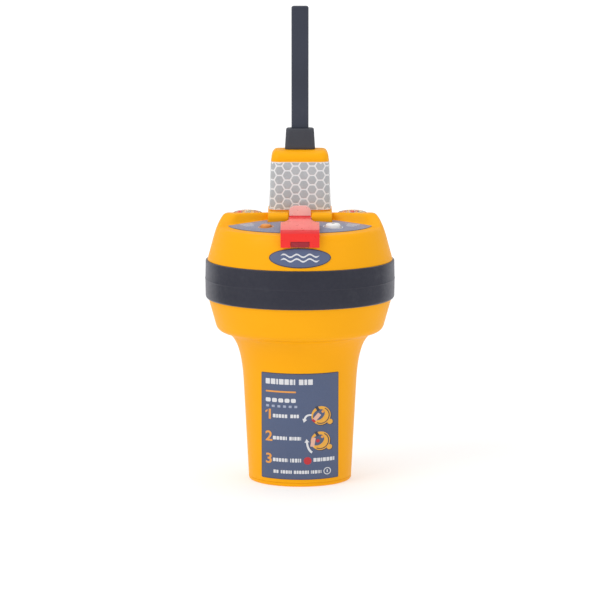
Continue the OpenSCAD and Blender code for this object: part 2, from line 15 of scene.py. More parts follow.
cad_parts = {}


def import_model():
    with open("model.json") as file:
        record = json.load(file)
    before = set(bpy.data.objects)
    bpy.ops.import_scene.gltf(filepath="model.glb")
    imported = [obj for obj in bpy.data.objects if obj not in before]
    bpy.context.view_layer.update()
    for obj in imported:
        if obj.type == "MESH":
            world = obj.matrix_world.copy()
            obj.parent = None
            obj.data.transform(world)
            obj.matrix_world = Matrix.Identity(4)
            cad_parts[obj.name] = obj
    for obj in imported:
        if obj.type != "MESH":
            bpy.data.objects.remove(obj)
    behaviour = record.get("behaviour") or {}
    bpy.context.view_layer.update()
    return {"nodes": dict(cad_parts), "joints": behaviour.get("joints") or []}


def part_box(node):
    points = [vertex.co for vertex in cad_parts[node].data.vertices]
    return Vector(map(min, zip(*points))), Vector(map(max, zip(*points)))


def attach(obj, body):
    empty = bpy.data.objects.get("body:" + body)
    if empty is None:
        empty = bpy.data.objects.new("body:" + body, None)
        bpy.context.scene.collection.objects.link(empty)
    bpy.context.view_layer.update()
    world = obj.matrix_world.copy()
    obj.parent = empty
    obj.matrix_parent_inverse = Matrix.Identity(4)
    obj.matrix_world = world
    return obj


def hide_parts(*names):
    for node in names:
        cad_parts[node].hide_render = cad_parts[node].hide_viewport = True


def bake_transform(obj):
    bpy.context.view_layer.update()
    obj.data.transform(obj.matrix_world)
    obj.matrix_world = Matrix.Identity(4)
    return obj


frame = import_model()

MM = 0.001
NODES = frame["nodes"]


def box_mm(node):
    """Low and high corners of a CAD node."""
    return [corner * 1000 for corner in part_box(node)]


def plan_centre(node):
    """Middle of a CAD node in x and y."""
    lo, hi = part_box(node)
    return [(lo[k] + hi[k]) * 500 for k in (0, 1)]


# ------------------------------------------------------------------ sizes
band_lo, band_hi = box_mm("bumper_band")
BAND_R = band_hi.x
KY = band_hi.y / band_hi.x  # squeeze of the case in y
BAND_TOP, BAND_BOT = band_hi.z, band_lo.z
SEAM_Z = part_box("lower_case")[1].z * 1000
RECESS_R = BAND_R - 1.9  # case radius under the band
WALL = 2.6  # thickness of the case

# leaning wall above the band
WALL_Z0 = BAND_TOP + 0.1
WALL_R0 = 51.6
WALL_SLOPE = 0.272  # radius lost per mm of height
# deck: flat in the middle, falling towards its rim
DECK_Z, DECK_RIM = 145.8, 143.3
DECK_FLAT_R, DECK_RUN = 12, 31
# hump at the back of the deck; its front edge line in plan slants back towards the middle
HUMP_Z = 149.3
EDGE_ANGLE = math.radians(27)
EDGE_X, EDGE_Y, EDGE_Z = 29.25, 1.75, 143.9
HUMP_FRONT = math.tan(math.radians(26))
HUMP_FALL = math.tan(math.radians(8.5))
HUMP_FALL_Y = 8

mast_lo, mast_hi = box_mm("antenna_mast")
MAST_W, MAST_D = mast_hi.x - mast_lo.x, mast_hi.y - mast_lo.y
MAST_Y = (mast_hi.y + mast_lo.y) / 2
MAST_TOP, MAST_BOT = mast_hi.z, mast_lo.z
MAST_DOME = 5.4  # height of its rounded top
MAST_CORNER = 5.0

FOOT_R0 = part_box("base_cap")[1].x * 1000
FOOT_R1, FOOT_Z1 = 31.5, 54  # top of the foot's straight taper
CAP_H = 2.2

SLOT_X = 6.3  # half width of the slot between the knuckles
PLINTH_X = 17.9  # half width of the mast plinth and the knuckles
POWER_R, TEST_R, WINDOW_R = 5.5, 4.2, 3.05
PRINT_OUT = 0.34  # top of the print, out from the foot
DECK_PRINT_OUT = 0.36


# ------------------------------------------------------------------ curves and outlines
def bezier(start, pull, end, steps):
    """Points of a quadratic curve."""
    points = []
    for i in range(steps + 1):
        t = i / steps
        points.append(tuple(a * (1 - t) ** 2 + 2 * b * t * (1 - t) + c * t * t
                            for a, b, c in zip(start, pull, end)))
    return points


def soft_min(a, b, width):
    h = np.clip(0.5 + 0.5 * (b - a) / width, 0, 1)
    return b * (1 - h) + a * h - width * h * (1 - h)


def soft_max(a, b, width):
    return -soft_min(-a, -b, width)


def smooth_step(start, end, x):
    t = np.clip((x - start) / (end - start), 0, 1)
    return t * t * (3 - 2 * t)


def rounded_rect(width, depth, radius, steps=8, cx=0, cy=0):
    """Rounded rectangle round (cx, cy), anticlockwise from the +x side."""
    points = []
    in_x, in_y = width / 2 - radius, depth / 2 - radius
    for mx, my, first in ((in_x, in_y, 0), (-in_x, in_y, 90), (-in_x, -in_y, 180),
                          (in_x, -in_y, 270)):
        for i in range(steps + 1):
            a = math.radians(first + 90 * i / steps)
            points.append((mx + radius * math.cos(a) + cx, my + radius * math.sin(a) + cy))
    return points


def level_rect(width, depth, radius, steps, y_mid, z):
    return [(x, y, z) for x, y in rounded_rect(width, depth, radius, steps, cy=y_mid)]


def oval(cx, cy, rx, ry=None, steps=40, start=0, sweep=360):
    """Points of an oval, or of an arc if sweep is less than a full turn."""
    ry = rx if ry is None else ry
    points = []
    for i in range(steps if sweep == 360 else steps + 1):
        a = math.radians(start + sweep * i / steps)
        points.append((cx + rx * math.cos(a), cy + ry * math.sin(a)))
    return points


# ------------------------------------------------------------------ mesh helpers
def link(ob):
    bpy.context.scene.collection.objects.link(ob)
    return ob


@contextmanager
def editing(mesh):
    """Opens a mesh as a bmesh and writes it back."""
    bm = bmesh.new()
    bm.from_mesh(mesh)
    yield bm
    bm.to_mesh(mesh)
    bm.free()


def raw_object(name, verts, faces):
    mesh = bpy.data.meshes.new(name)
    mesh.from_pydata([tuple(c * MM for c in v) for v in verts], [], faces)
    mesh.validate()
    return link(bpy.data.objects.new(name, mesh))


def mesh_object(name, verts, faces, mat=None):
    """Object with its faces turned outwards."""
    ob = raw_object(name, verts, faces)
    if mat is not None:
        ob.data.materials.append(mat)
    with editing(ob.data) as bm:
        bmesh.ops.recalc_face_normals(bm, faces=bm.faces)
    return ob


def from_bmesh(name, bm, mat=None):
    bmesh.ops.recalc_face_normals(bm, faces=bm.faces)
    mesh = bpy.data.meshes.new(name)
    bm.to_mesh(mesh)
    bm.free()
    if mat is not None:
        mesh.materials.append(mat)
    return link(bpy.data.objects.new(name, mesh))


def apply_modifiers(ob):
    graph = bpy.context.evaluated_depsgraph_get()
    graph.update()
    mesh = bpy.data.meshes.new_from_object(ob.evaluated_get(graph))
    ob.modifiers.clear()
    old = ob.data
    ob.data = mesh
    bpy.data.meshes.remove(old)


def is_sharp(edge, degrees):
    return len(edge.link_faces) == 2 and edge.calc_face_angle(0) > math.radians(degrees)


def auto_smooth(ob, degrees):
    """Marks edges sharper than the angle and shades the rest smooth."""
    with editing(ob.data) as bm:
        for edge in bm.edges:
            edge.smooth = not is_sharp(edge, degrees)
        for face in bm.faces:
            face.smooth = True
    return ob


def cut(ob, cutter):
    modifier = ob.modifiers.new("cut", "BOOLEAN")
    modifier.operation = "DIFFERENCE"
    modifier.object = cutter
    modifier.solver = "EXACT"
    apply_modifiers(ob)
    bpy.data.objects.remove(cutter)


def bevel(ob, width, segments, degrees):
    """Rounds edges sharper than the angle."""
    modifier = ob.modifiers.new("bevel", "BEVEL")
    modifier.width = width * MM
    modifier.segments = segments
    modifier.limit_method = "ANGLE"
    modifier.angle_limit = math.radians(degrees)
    apply_modifiers(ob)


def lathe(name, profile, mat=None, squeeze=KY, steps=192, closed=True, at=None):
    """Squeezed body of revolution from (radius, height) points, then moved by at.

    closed joins the last ring to the first, unless the profile ends on the axis.
    """
    verts, faces, rings = [], [], []
    for r, z in profile:
        if r < 1e-6:
            rings.append([len(verts)])
            verts.append((0, 0, z))
            continue
        rings.append(range(len(verts), len(verts) + steps))
        for i in range(steps):
            a = 2 * math.pi * i / steps
            verts.append((r * math.cos(a), squeeze * r * math.sin(a), z))
    pairs = list(zip(rings[:-1], rings[1:]))
    if closed and len(rings[0]) > 1 and len(rings[-1]) > 1:
        pairs.append((rings[-1], rings[0]))
    for a, b in pairs:
        if len(a) == 1 and len(b) == 1:
            continue
        for i in range(steps):
            j = (i + 1) % steps
            if len(a) == 1:
                faces.append((a[0], b[i], b[j]))
            elif len(b) == 1:
                faces.append((a[i], a[j], b[0]))
            else:
                faces.append((a[i], a[j], b[j], b[i]))
    ob = mesh_object(name, verts, faces, mat)
    if at is not None:
        ob.data.transform(Matrix.Translation([c * MM for c in at]))
    return ob


def loft(name, rings, mat=None):
    """Capped skin over rings of (x, y, z) points with equal counts."""
    n = len(rings[0])
    verts = [point for ring in rings for point in ring]
    faces = []
    for k in range(len(rings) - 1):
        for i in range(n):
            j = (i + 1) % n
            faces.append((k * n + i, k * n + j, (k + 1) * n + j, (k + 1) * n + i))
    faces.append(tuple(range(n - 1, -1, -1)))
    faces.append(tuple(range((len(rings) - 1) * n, len(rings) * n)))
    return mesh_object(name, verts, faces, mat)


def box_piece(name, lo, hi, rounding, mat=None):
    bm = bmesh.new()
    bmesh.ops.create_cube(bm, size=1)
    for v in bm.verts:
        v.co = Vector([(lo[k] + (v.co[k] + 0.5) * (hi[k] - lo[k])) * MM for k in range(3)])
    if rounding:
        bmesh.ops.bevel(bm, geom=list(bm.edges), offset=rounding * MM, segments=3, profile=0.5,
                        affect="EDGES")
    return auto_smooth(from_bmesh(name, bm, mat), 40)


def prism(profile, x0, x1):
    """bmesh of a (y, z) outline extruded from x0 to x1."""
    bm = bmesh.new()
    near, far = [[bm.verts.new((x * MM, y * MM, z * MM)) for y, z in profile] for x in (x0, x1)]
    n = len(profile)
    for i in range(n):
        j = (i + 1) % n
        bm.faces.new((near[i], near[j], far[j], far[i]))
    bm.faces.new(near[::-1])
    bm.faces.new(far)
    bmesh.ops.recalc_face_normals(bm, faces=bm.faces)
    return bm


def cylinder(name, radius, start, end, mat=None, steps=48, rounding=0.0):
    """Cylinder between two points, its ends rounded if asked."""
    start, end = Vector(start), Vector(end)
    axis = end - start
    length = axis.length
    profile = [(0, 0)]
    if rounding:
        quarter = [math.radians(90 * i / 3) for i in range(4)]
        core = radius - rounding
        profile += [(core + rounding * math.sin(a), rounding - rounding * math.cos(a))
                    for a in quarter]
        profile += [(core + rounding * math.cos(a), length - rounding + rounding * math.sin(a))
                    for a in quarter]
    else:
        profile += [(radius, 0), (radius, length)]
    profile += [(0, length)]
    ob = lathe(name, profile, mat, squeeze=1.0, steps=steps)
    turn = axis.normalized().to_track_quat("Z", "Y").to_matrix().to_4x4()
    ob.data.transform(Matrix.Translation(start * MM) @ turn)
    return auto_smooth(ob, 40)


def drill(ob, radius, x, y, z0, z1):
    """Cuts an upright round hole."""
    cut(ob, cylinder("cutter", radius, (x, y, z0), (x, y, z1)))


def join(name, pieces):
    """Joins pieces of one material each into one object."""
    bm = bmesh.new()
    mats = []
    for piece in pieces:
        mat = piece.data.materials[0]
        if mat not in mats:
            mats.append(mat)
        before = len(bm.faces)
        bm.from_mesh(piece.data)
        bm.faces.ensure_lookup_table()
        for face in bm.faces[before:]:
            face.material_index = mats.index(mat)
    mesh = bpy.data.meshes.new(name)
    bm.to_mesh(mesh)
    bm.free()
    for mat in mats:
        mesh.materials.append(mat)
    for piece in pieces:
        bpy.data.objects.remove(piece)
    return link(bpy.data.objects.new(name, mesh))


def put(ob, slot, *replaces, body="case"):
    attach(ob, body)
    if replaces:
        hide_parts(*replaces)


def finish(ob, degrees, slot, *replaces, body="case"):
    put(auto_smooth(ob, degrees), slot, *replaces, body=body)


def refine(node, name, mat, slot, body, width, segments, degrees):
    """A copy of a CAD node with its flat faces merged and its edges rounded."""
    mesh = NODES[node].data.copy()
    mesh.name = name
    mesh.materials.clear()
    with editing(mesh) as bm:
        bmesh.ops.remove_doubles(bm, verts=bm.verts, dist=1e-6)
        bmesh.ops.dissolve_limit(bm, angle_limit=math.radians(2.5), verts=bm.verts,
                                 edges=bm.edges)
    ob = link(bpy.data.objects.new(name, mesh))
    bevel(ob, width, segments, degrees)
    auto_smooth(ob, 32)
    ob.data.materials.append(mat)
    put(ob, slot, node, body=body)
    return ob


def recolour(node, mat):
    """Gives a CAD node its material and leaves its shape."""
    materials = NODES[node].data.materials
    materials.clear()
    materials.append(mat)


# ------------------------------------------------------------------ material helpers
def tint(color, gain, lift=0.0):
    return tuple(min(1, c * gain + lift) for c in color)


class Material:
    """A Principled material whose textures use object coordinates.

    Inputs are given by name with _ for spaces, as a value or as a socket to link.
    """

    def __init__(self, name):
        self.material = bpy.data.materials.new(name)
        self.material.use_nodes = True
        self.tree = self.material.node_tree
        self.nodes = self.tree.nodes
        self.nodes.clear()
        output = self.nodes.new("ShaderNodeOutputMaterial")
        self.shader = self.nodes.new("ShaderNodeBsdfPrincipled")
        self.tree.links.new(self.shader.outputs[0], output.inputs[0])
        self.coords = self.nodes.new("ShaderNodeTexCoord").outputs["Object"]

    def feed(self, socket, value):
        if isinstance(value, bpy.types.NodeSocket):
            self.tree.links.new(value, socket)
        elif socket.type == "RGBA":
            socket.default_value = (*value, 1)
        else:
            socket.default_value = value

    def set(self, **inputs):
        for name, value in inputs.items():
            self.feed(self.shader.inputs[name.replace("_", " ")], value)

    def texture(self, kind, vector=None, **inputs):
        """A node fed with object coordinates, or with vector."""
        node = self.nodes.new("ShaderNode" + kind)
        for name, value in inputs.items():
            self.feed(node.inputs[name.replace("_", " ")], value)
        self.feed(node.inputs["Vector"], vector or self.coords)
        return node

    def noise(self, scale, detail=3.0, rough=0.55, stretch=None):
        vector = self.texture("Mapping", Scale=stretch).outputs[0] if stretch else None
        return self.texture("TexNoise", vector, Scale=scale, Detail=detail,
                            Roughness=rough).outputs["Fac"]

    def voronoi(self, scale):
        return self.texture("TexVoronoi", Scale=scale).outputs

    def channels(self, color):
        node = self.nodes.new("ShaderNodeSeparateColor")
        self.feed(node.inputs[0], color)
        return node.outputs

    def remap(self, value, span, to=(0, 1)):
        node = self.nodes.new("ShaderNodeMapRange")
        for i, limit in enumerate((*span, *to)):
            node.inputs[i + 1].default_value = limit
        self.feed(node.inputs[0], value)
        return node.outputs[0]

    def mix(self, fac, first, second, span=None, amount=1):
        """Mixes two colours; span is the part of fac spread over 0 to amount."""
        if span:
            fac = self.remap(fac, span, (0, amount))
        node = self.nodes.new("ShaderNodeMix")
        node.data_type = "RGBA"
        colors = [i for i in node.inputs if i.type == "RGBA"]
        for socket, color in zip(colors, (first, second)):
            self.feed(socket, color)
        self.feed(node.inputs[0], fac)
        return [o for o in node.outputs if o.type == "RGBA"][0]

    def multiply(self, a, b):
        node = self.nodes.new("ShaderNodeMath")
        node.operation = "MULTIPLY"
        self.feed(node.inputs[0], a)
        self.feed(node.inputs[1], b)
        return node.outputs[0]

    def edge(self, span):
        """Convex edges, 0 to 1, where rubbing and a painted highlight make the colour paler."""
        geometry = self.nodes.new("ShaderNodeNewGeometry")
        return self.remap(geometry.outputs["Pointiness"], span)

    def facing(self):
        """0 seen square on, 1 seen along the surface."""
        node = self.nodes.new("ShaderNodeLayerWeight")
        node.inputs["Blend"].default_value = 0.5
        return node.outputs["Facing"]

    def roughness(self, low, high, scale, detail=4):
        self.set(Roughness=self.remap(self.noise(scale, detail), (0.3, 0.7), (low, high)))

    def bump(self, *layers):
        """layers: (height, strength, distance in mm)"""
        normal = None
        for height, strength, distance in layers:
            node = self.nodes.new("ShaderNodeBump")
            node.inputs["Strength"].default_value = strength
            node.inputs["Distance"].default_value = distance * MM
            self.feed(node.inputs["Height"], height)
            if normal is not None:
                self.feed(node.inputs["Normal"], normal)
            normal = node.outputs[0]
        self.set(Normal=normal)


# ------------------------------------------------------------------ material kinds
def plastic(name, color, deep, rough, grain, edge_wear_and_highlight, spec=0.5, light=None):
    """Moulded plastic: slow colour drift, fine grain, faint scuffs and lighter edges, which are
    partly rubbed paler and partly a painted highlight.
    """
    mat = Material(name)
    slow = mat.noise(scale=28, detail=2)
    fine = mat.noise(scale=2600, detail=2, rough=0.6)
    scuff = mat.noise(scale=160, detail=6, rough=0.75, stretch=(1, 1, 0.35))
    col = mat.mix(slow, color, deep, span=(0.3, 0.7))
    col = mat.mix(scuff, col, tint(color, gain=1.12, lift=0.02), span=(0.66, 0.78), amount=0.35)
    # lighter convex edges: partly rubbed paler, partly a painted highlight where the rounded
    # edges catch the light
    light = light or tint(color, gain=1.15, lift=0.05)
    col = mat.mix(mat.multiply(mat.edge(span=(0.52, 0.62)), edge_wear_and_highlight), col, light)
    mat.roughness(*rough, scale=420)
    mat.set(Base_Color=col, Coat_Roughness=0.25, Specular_IOR_Level=spec)
    mat.bump((fine, grain, 0.05), (mat.noise(scale=700), grain * 0.5, 0.08))
    return mat.material


def rubber(name, color, deep, rough=(0.52, 0.68), dusty=0.28, edge_wear_and_highlight=0.35, graze=0.0):
    """Moulded rubber: matt grain, dusty bloom, paler edges that are partly rubbed and partly
    painted sheen, soft sheen, and with graze a painted sheen seen along the surface.
    """
    mat = Material(name)
    dust = mat.noise(scale=90, detail=5, rough=0.7)
    fine = mat.noise(scale=3400, detail=3, rough=0.7)
    col = mat.mix(mat.noise(scale=35, detail=2), color, deep, span=(0.35, 0.65))
    col = mat.mix(dust, col, (0.085, 0.088, 0.105), span=(0.58, 0.8), amount=dusty)
    if edge_wear_and_highlight:
        # paler convex edges: partly rubbed, partly painted sheen
        edge_wear_and_sheen = mat.multiply(mat.edge(span=(0.51, 0.60)), edge_wear_and_highlight)
        col = mat.mix(edge_wear_and_sheen, col, (0.12, 0.125, 0.145))
    if graze:
        # painted sheen: paler where the rubber is seen along its surface
        col = mat.mix(mat.facing(), col, (0.20, 0.20, 0.22), span=(0.45, 1.0), amount=graze)
    mat.roughness(*rough, scale=500)
    mat.set(Base_Color=col, Sheen_Weight=0.05, Sheen_Roughness=0.5,
            Sheen_Tint=(0.75, 0.80, 1.0), Specular_IOR_Level=0.35)
    mat.bump((fine, 0.22, 0.06), (mat.noise(scale=900), 0.12, 0.10))
    return mat.material


def steel(name, color, rough):
    mat = Material(name)
    brushed = mat.noise(scale=900, detail=4, rough=0.7, stretch=(1, 1, 14))
    mat.set(Base_Color=mat.mix(brushed, color, tint(color, gain=0.86), span=(0.3, 0.7)),
            Metallic=1.0)
    mat.roughness(rough - 0.06, rough + 0.1, scale=300)
    mat.bump((brushed, 0.15, 0.02))
    return mat.material


def label(name, color, deep, gloss=0.30):
    """Printed polyester: flat colour with faint print mottle under a satin film."""
    mat = Material(name)
    col = mat.mix(mat.noise(scale=1800, detail=3, rough=0.7), color, deep, span=(0.35, 0.65))
    patches = mat.noise(scale=120, detail=5, rough=0.75)
    col = mat.mix(patches, col, tint(color, gain=1.5, lift=0.04), span=(0.6, 0.8), amount=0.22)
    mat.set(Base_Color=col)
    mat.roughness(gloss, gloss + 0.12, scale=260)
    mat.bump((mat.noise(scale=2200, detail=2), 0.06, 0.03))
    return mat.material


def keypad_sheet():
    """Slate blue with a painted reflection that turns it pale when looked at along its surface.
    """
    mat = Material("keypad_blue")
    facing = mat.facing()
    base = mat.mix(mat.noise(scale=1800, detail=3, rough=0.7),
                   (0.092, 0.112, 0.200), (0.080, 0.098, 0.180), span=(0.35, 0.65))
    # painted reflection: the pale colour seen at grazing views
    pale = mat.mix(mat.noise(scale=1400, detail=2, rough=0.8),
                   (0.27, 0.28, 0.37), (0.42, 0.43, 0.53), span=(0.50, 0.62))
    mat.set(Base_Color=mat.mix(facing, base, pale, span=(0.55, 0.85), amount=0.85),
            Specular_IOR_Level=0.3)
    mat.roughness(0.45, 0.6, scale=260)
    mat.bump((mat.noise(scale=2200, detail=2), 0.06, 0.03))
    return mat.material


def flap_plastic(name, deep, pale, span, amount, clear=0.0, glow=0.0):
    """Red polycarbonate with flow marks: deep seen square on, and pale along the surface as a
    painted reflection. glow is a painted glow.
    """
    mat = Material(name)
    facing = mat.facing()
    flow = mat.noise(scale=60, detail=3, rough=0.6, stretch=(1, 0.4, 1))
    col = mat.mix(flow, deep, tint(deep, gain=0.92), span=(0.35, 0.65))
    # painted reflection: pale where the surface is seen along it
    col = mat.mix(facing, col, pale, span=span, amount=amount)
    mat.set(Base_Color=col, Emission_Color=col, Emission_Strength=glow, IOR=1.49,
            Transmission_Weight=clear, Specular_IOR_Level=0.35)
    mat.roughness(0.26, 0.36, scale=380)
    mat.bump((mat.noise(scale=220, detail=2), 0.04, 0.03))
    return mat.material


def tape_cell():
    """Retroreflective cell: silver, with tiny prisms and small tone changes."""
    mat = Material("retro_cell")
    tone = mat.channels(mat.voronoi(scale=190)["Color"])
    prism_height = mat.voronoi(scale=1500)["Distance"]
    col = mat.mix(tone[0], (0.372, 0.400, 0.420), (0.425, 0.455, 0.475), span=(0, 1))
    col = mat.mix(prism_height, col, (0.58, 0.58, 0.60), span=(0.0, 0.6), amount=0.25)
    mat.set(Base_Color=col, Metallic=0.12, Coat_Weight=0.12, Coat_Roughness=0.2)
    mat.roughness(0.30, 0.46, scale=700, detail=3)
    mat.bump((prism_height, 0.25, 0.05))
    return mat.material


def clear_lens():
    """Clear cover with faint bands across it."""
    mat = Material("lens_clear")
    mat.roughness(0.03, 0.08, scale=300, detail=3)
    mat.set(Base_Color=(0.99, 0.97, 0.93), IOR=1.18, Transmission_Weight=0.97)
    bands = mat.texture("TexWave", Scale=180, Distortion=0.4)
    mat.bump((bands.outputs["Fac"], 0.10, 0.04))
    return mat.material


def reflector():
    """Cream reflector cup with painted orange and red glints and a faint painted glow."""
    mat = Material("reflector_cream")
    spots = mat.voronoi(scale=620)
    pick = mat.channels(spots["Color"])
    col = mat.mix(mat.noise(scale=420), (0.95, 0.68, 0.30), (0.98, 0.55, 0.10), span=(0.4, 0.6))
    # painted glints: orange and red spots
    col = mat.mix(pick[0], col, (0.95, 0.30, 0.08), span=(0.74, 0.78), amount=0.8)
    col = mat.mix(pick[1], col, (0.80, 0.10, 0.20), span=(0.84, 0.87), amount=0.8)
    # painted glow: a faint emission keeps the cup bright under the lens
    mat.set(Base_Color=col, Emission_Color=col, Emission_Strength=0.12)
    mat.roughness(0.3, 0.4, scale=300, detail=3)
    mat.bump((spots["Distance"], 0.2, 0.05))
    return mat.material


def orange_window():
    mat = Material("light_orange")
    mat.set(Base_Color=mat.mix(mat.noise(scale=500), (0.95, 0.30, 0.03), (0.98, 0.40, 0.07)),
            Roughness=0.3, Transmission_Weight=0.25, IOR=1.45)
    mat.bump((mat.noise(scale=900, detail=2), 0.06, 0.04))
    return mat.material


def led(name, color, glow):
    mat = Material(name)
    mat.set(Base_Color=mat.mix(mat.noise(scale=900, detail=2), color, tint(color, gain=0.8)),
            Roughness=0.25, Emission_Strength=glow, Emission_Color=color)
    return mat.material


def circuit():
    """Solder-masked board: copper traces read as a lighter green grid."""
    mat = Material("board_green")
    grid = mat.texture("TexBrick", Scale=260, Color1=(0.012, 0.11, 0.055),
                       Color2=(0.016, 0.14, 0.070), Mortar=(0.03, 0.22, 0.11),
                       Mortar_Size=0.03)
    mat.set(Base_Color=grid.outputs["Color"], Roughness=0.35)
    mat.bump((mat.noise(scale=1200), 0.1, 0.03))
    return mat.material


def braid():
    """Braided cord: crossing diagonal strands with fuzz."""
    mat = Material("cord_orange")
    strands = []
    for turn in (0.9, -0.9):
        turned_coords = mat.texture("Mapping", Rotation=(0, turn, 0)).outputs[0]
        bands = mat.texture("TexWave", turned_coords, Scale=420, Distortion=0.3)
        strands.append(bands.outputs["Fac"])
    weave = mat.multiply(*strands)
    # painted shade: darker orange in the low grooves between the strands
    col = mat.mix(weave, (0.52, 0.12, 0.012), (0.92, 0.30, 0.045))
    col = mat.mix(mat.noise(scale=2400, detail=4), col, (0.95, 0.55, 0.25),
                  span=(0.55, 0.75), amount=0.35)
    mat.set(Base_Color=col, Roughness=0.85, Sheen_Weight=0.4)
    mat.bump((weave, 0.6, 0.18), (mat.noise(scale=3000), 0.25, 0.05))
    return mat.material


# ------------------------------------------------------------------ materials
# its light colour is a painted highlight for the rounded rims, paler than the case yellow
YELLOW = plastic("case_yellow", (0.925, 0.402, 0.0030), (0.905, 0.386, 0.0022),
                 rough=(0.38, 0.50), grain=0.10, edge_wear_and_highlight=0.30, spec=0.12, light=(1.0, 0.50, 0.03))
WHITE_RUBBER = plastic("button_white", (0.84, 0.84, 0.83), (0.78, 0.78, 0.77),
                       rough=(0.42, 0.55), grain=0.10, edge_wear_and_highlight=0.1)
RED_RUBBER = plastic("button_red", (0.66, 0.018, 0.018), (0.56, 0.012, 0.014),
                     rough=(0.40, 0.52), grain=0.12, edge_wear_and_highlight=0.2)
# painted shade: the tab's dark red stands in for the flap red in the shadowed notch under the
# flap
TAB_RED_SHADED = plastic("tab_maroon", (0.36, 0.022, 0.036), (0.29, 0.015, 0.026),
                 rough=(0.32, 0.44), grain=0.08, edge_wear_and_highlight=0.2, spec=0.3)
BLACK = plastic("black_plastic", (0.028, 0.028, 0.030), (0.020, 0.020, 0.022),
                rough=(0.40, 0.55), grain=0.15, edge_wear_and_highlight=0.3)

# graze paints a pale sheen along the band's sides
BAND_RUBBER = rubber("band_rubber", (0.019, 0.020, 0.034), (0.015, 0.016, 0.029),
                     dusty=0.2, edge_wear_and_highlight=0.3, graze=0.95)
BOOT = rubber("boot_rubber", (0.045, 0.048, 0.062), (0.038, 0.040, 0.052),
              rough=(0.45, 0.6), dusty=0.2, edge_wear_and_highlight=0.25)
SEAL = rubber("seal_rubber", (0.020, 0.020, 0.022), (0.014, 0.014, 0.016))
WHIP = rubber("whip_coat", (0.030, 0.036, 0.058), (0.026, 0.031, 0.050),
              rough=(0.36, 0.48), dusty=0.12, edge_wear_and_highlight=0.0)

STEEL = steel("stainless", (0.62, 0.62, 0.63), rough=0.28)
TIN = steel("tinned_can", (0.60, 0.60, 0.57), rough=0.36)
SPRING = steel("spring_steel", (0.55, 0.53, 0.47), rough=0.3)

LABEL = label("label_blue", (0.072, 0.100, 0.190), (0.064, 0.090, 0.174), gloss=0.40)
BADGE = label("badge_blue", (0.090, 0.118, 0.222), (0.080, 0.106, 0.204), gloss=0.40)
LABEL_EDGE = label("label_edge", (0.030, 0.036, 0.060), (0.026, 0.030, 0.052))
KEYPAD = keypad_sheet()
PRINT_WHITE = label("print_white", (0.70, 0.71, 0.74), (0.64, 0.65, 0.68), gloss=0.40)
PRINT_ORANGE = label("print_orange", (0.78, 0.33, 0.060), (0.72, 0.30, 0.050), gloss=0.40)
PRINT_YELLOW = label("print_yellow", (0.80, 0.40, 0.045), (0.74, 0.36, 0.038), gloss=0.40)
PRINT_PINK = label("print_pink", (0.74, 0.44, 0.34), (0.68, 0.40, 0.30), gloss=0.40)
PRINT_RED = label("print_red", (0.52, 0.020, 0.030), (0.46, 0.016, 0.026), gloss=0.40)
PRINT_PALE = label("print_pale", (0.36, 0.40, 0.52), (0.32, 0.36, 0.48), gloss=0.36)

# the pale red is a painted reflection at grazing views
FLAP = flap_plastic("flap_red", deep=(0.86, 0.026, 0.022), pale=(1.0, 0.27, 0.25),
                    span=(0.60, 0.90), amount=0.9)
# painted shade: a darker red for the shaded raised back and front edge of the flap
FLAP_PAINTED_SHADE = flap_plastic("flap_red_painted_shade", deep=(0.74, 0.040, 0.045), pale=(0.90, 0.14, 0.13),
                         span=(0.60, 0.90), amount=0.5)
# painted backlight: the tongue's pale pink and its glow stand in for light through it from the
# white tape behind
FLAP_THIN_BACKLIT = flap_plastic("flap_red_thin_backlit", deep=(1.0, 0.58, 0.54), pale=(1.0, 0.64, 0.60),
                         span=(0.4, 0.9), amount=0.6, clear=0.36, glow=0.10)

TAPE_CELL = tape_cell()
TAPE_BASE = label("retro_grid", (0.80, 0.81, 0.82), (0.75, 0.76, 0.77))
LENS = clear_lens()
REFLECTOR = reflector()
ORANGE = orange_window()
LED_RED = led("led_red", (0.85, 0.06, 0.05), glow=0.25)
LED_ORANGE = led("led_orange", (0.95, 0.35, 0.05), glow=0.25)
LED_WHITE = led("led_white", (0.90, 0.86, 0.62), glow=0.1)
BOARD = circuit()
CORD = braid()


# ------------------------------------------------------------------ surfaces of the case
def deck_height(rho):
    return DECK_Z - np.maximum(0, rho - DECK_FLAT_R) * (DECK_Z - DECK_RIM) / DECK_RUN


def upper_height(x, y):
    """Height of the outside of the upper case over (x, y)."""
    rho = np.sqrt(x * x + (y / KY) ** 2)
    wall = WALL_Z0 + (WALL_R0 - rho) / WALL_SLOPE
    # distance behind the hump's front edge line, measured square to it
    behind = (y - EDGE_Y) * math.cos(EDGE_ANGLE) + (np.abs(x) - EDGE_X) * math.sin(EDGE_ANGLE)
    # the hump's front is steepest near the wall, towards the front
    lean = HUMP_FRONT + 1.4 * smooth_step(35, 47, rho) * (1 - smooth_step(4, 16, y))
    ramp = EDGE_Z + behind / lean
    back = y - HUMP_FALL_Y
    top = HUMP_Z + 0.45 - HUMP_FALL * 0.5 * (back + np.sqrt(back ** 2 + 16.0))
    hump = soft_min(top, ramp, 1.8)
    surface = soft_max(deck_height(rho), hump, 1.2)
    # the shoulder is rounder where the surface is higher
    shoulder = 8.0 + 4.0 * smooth_step(144.5, 149, surface)
    return soft_min(wall, surface, shoulder)


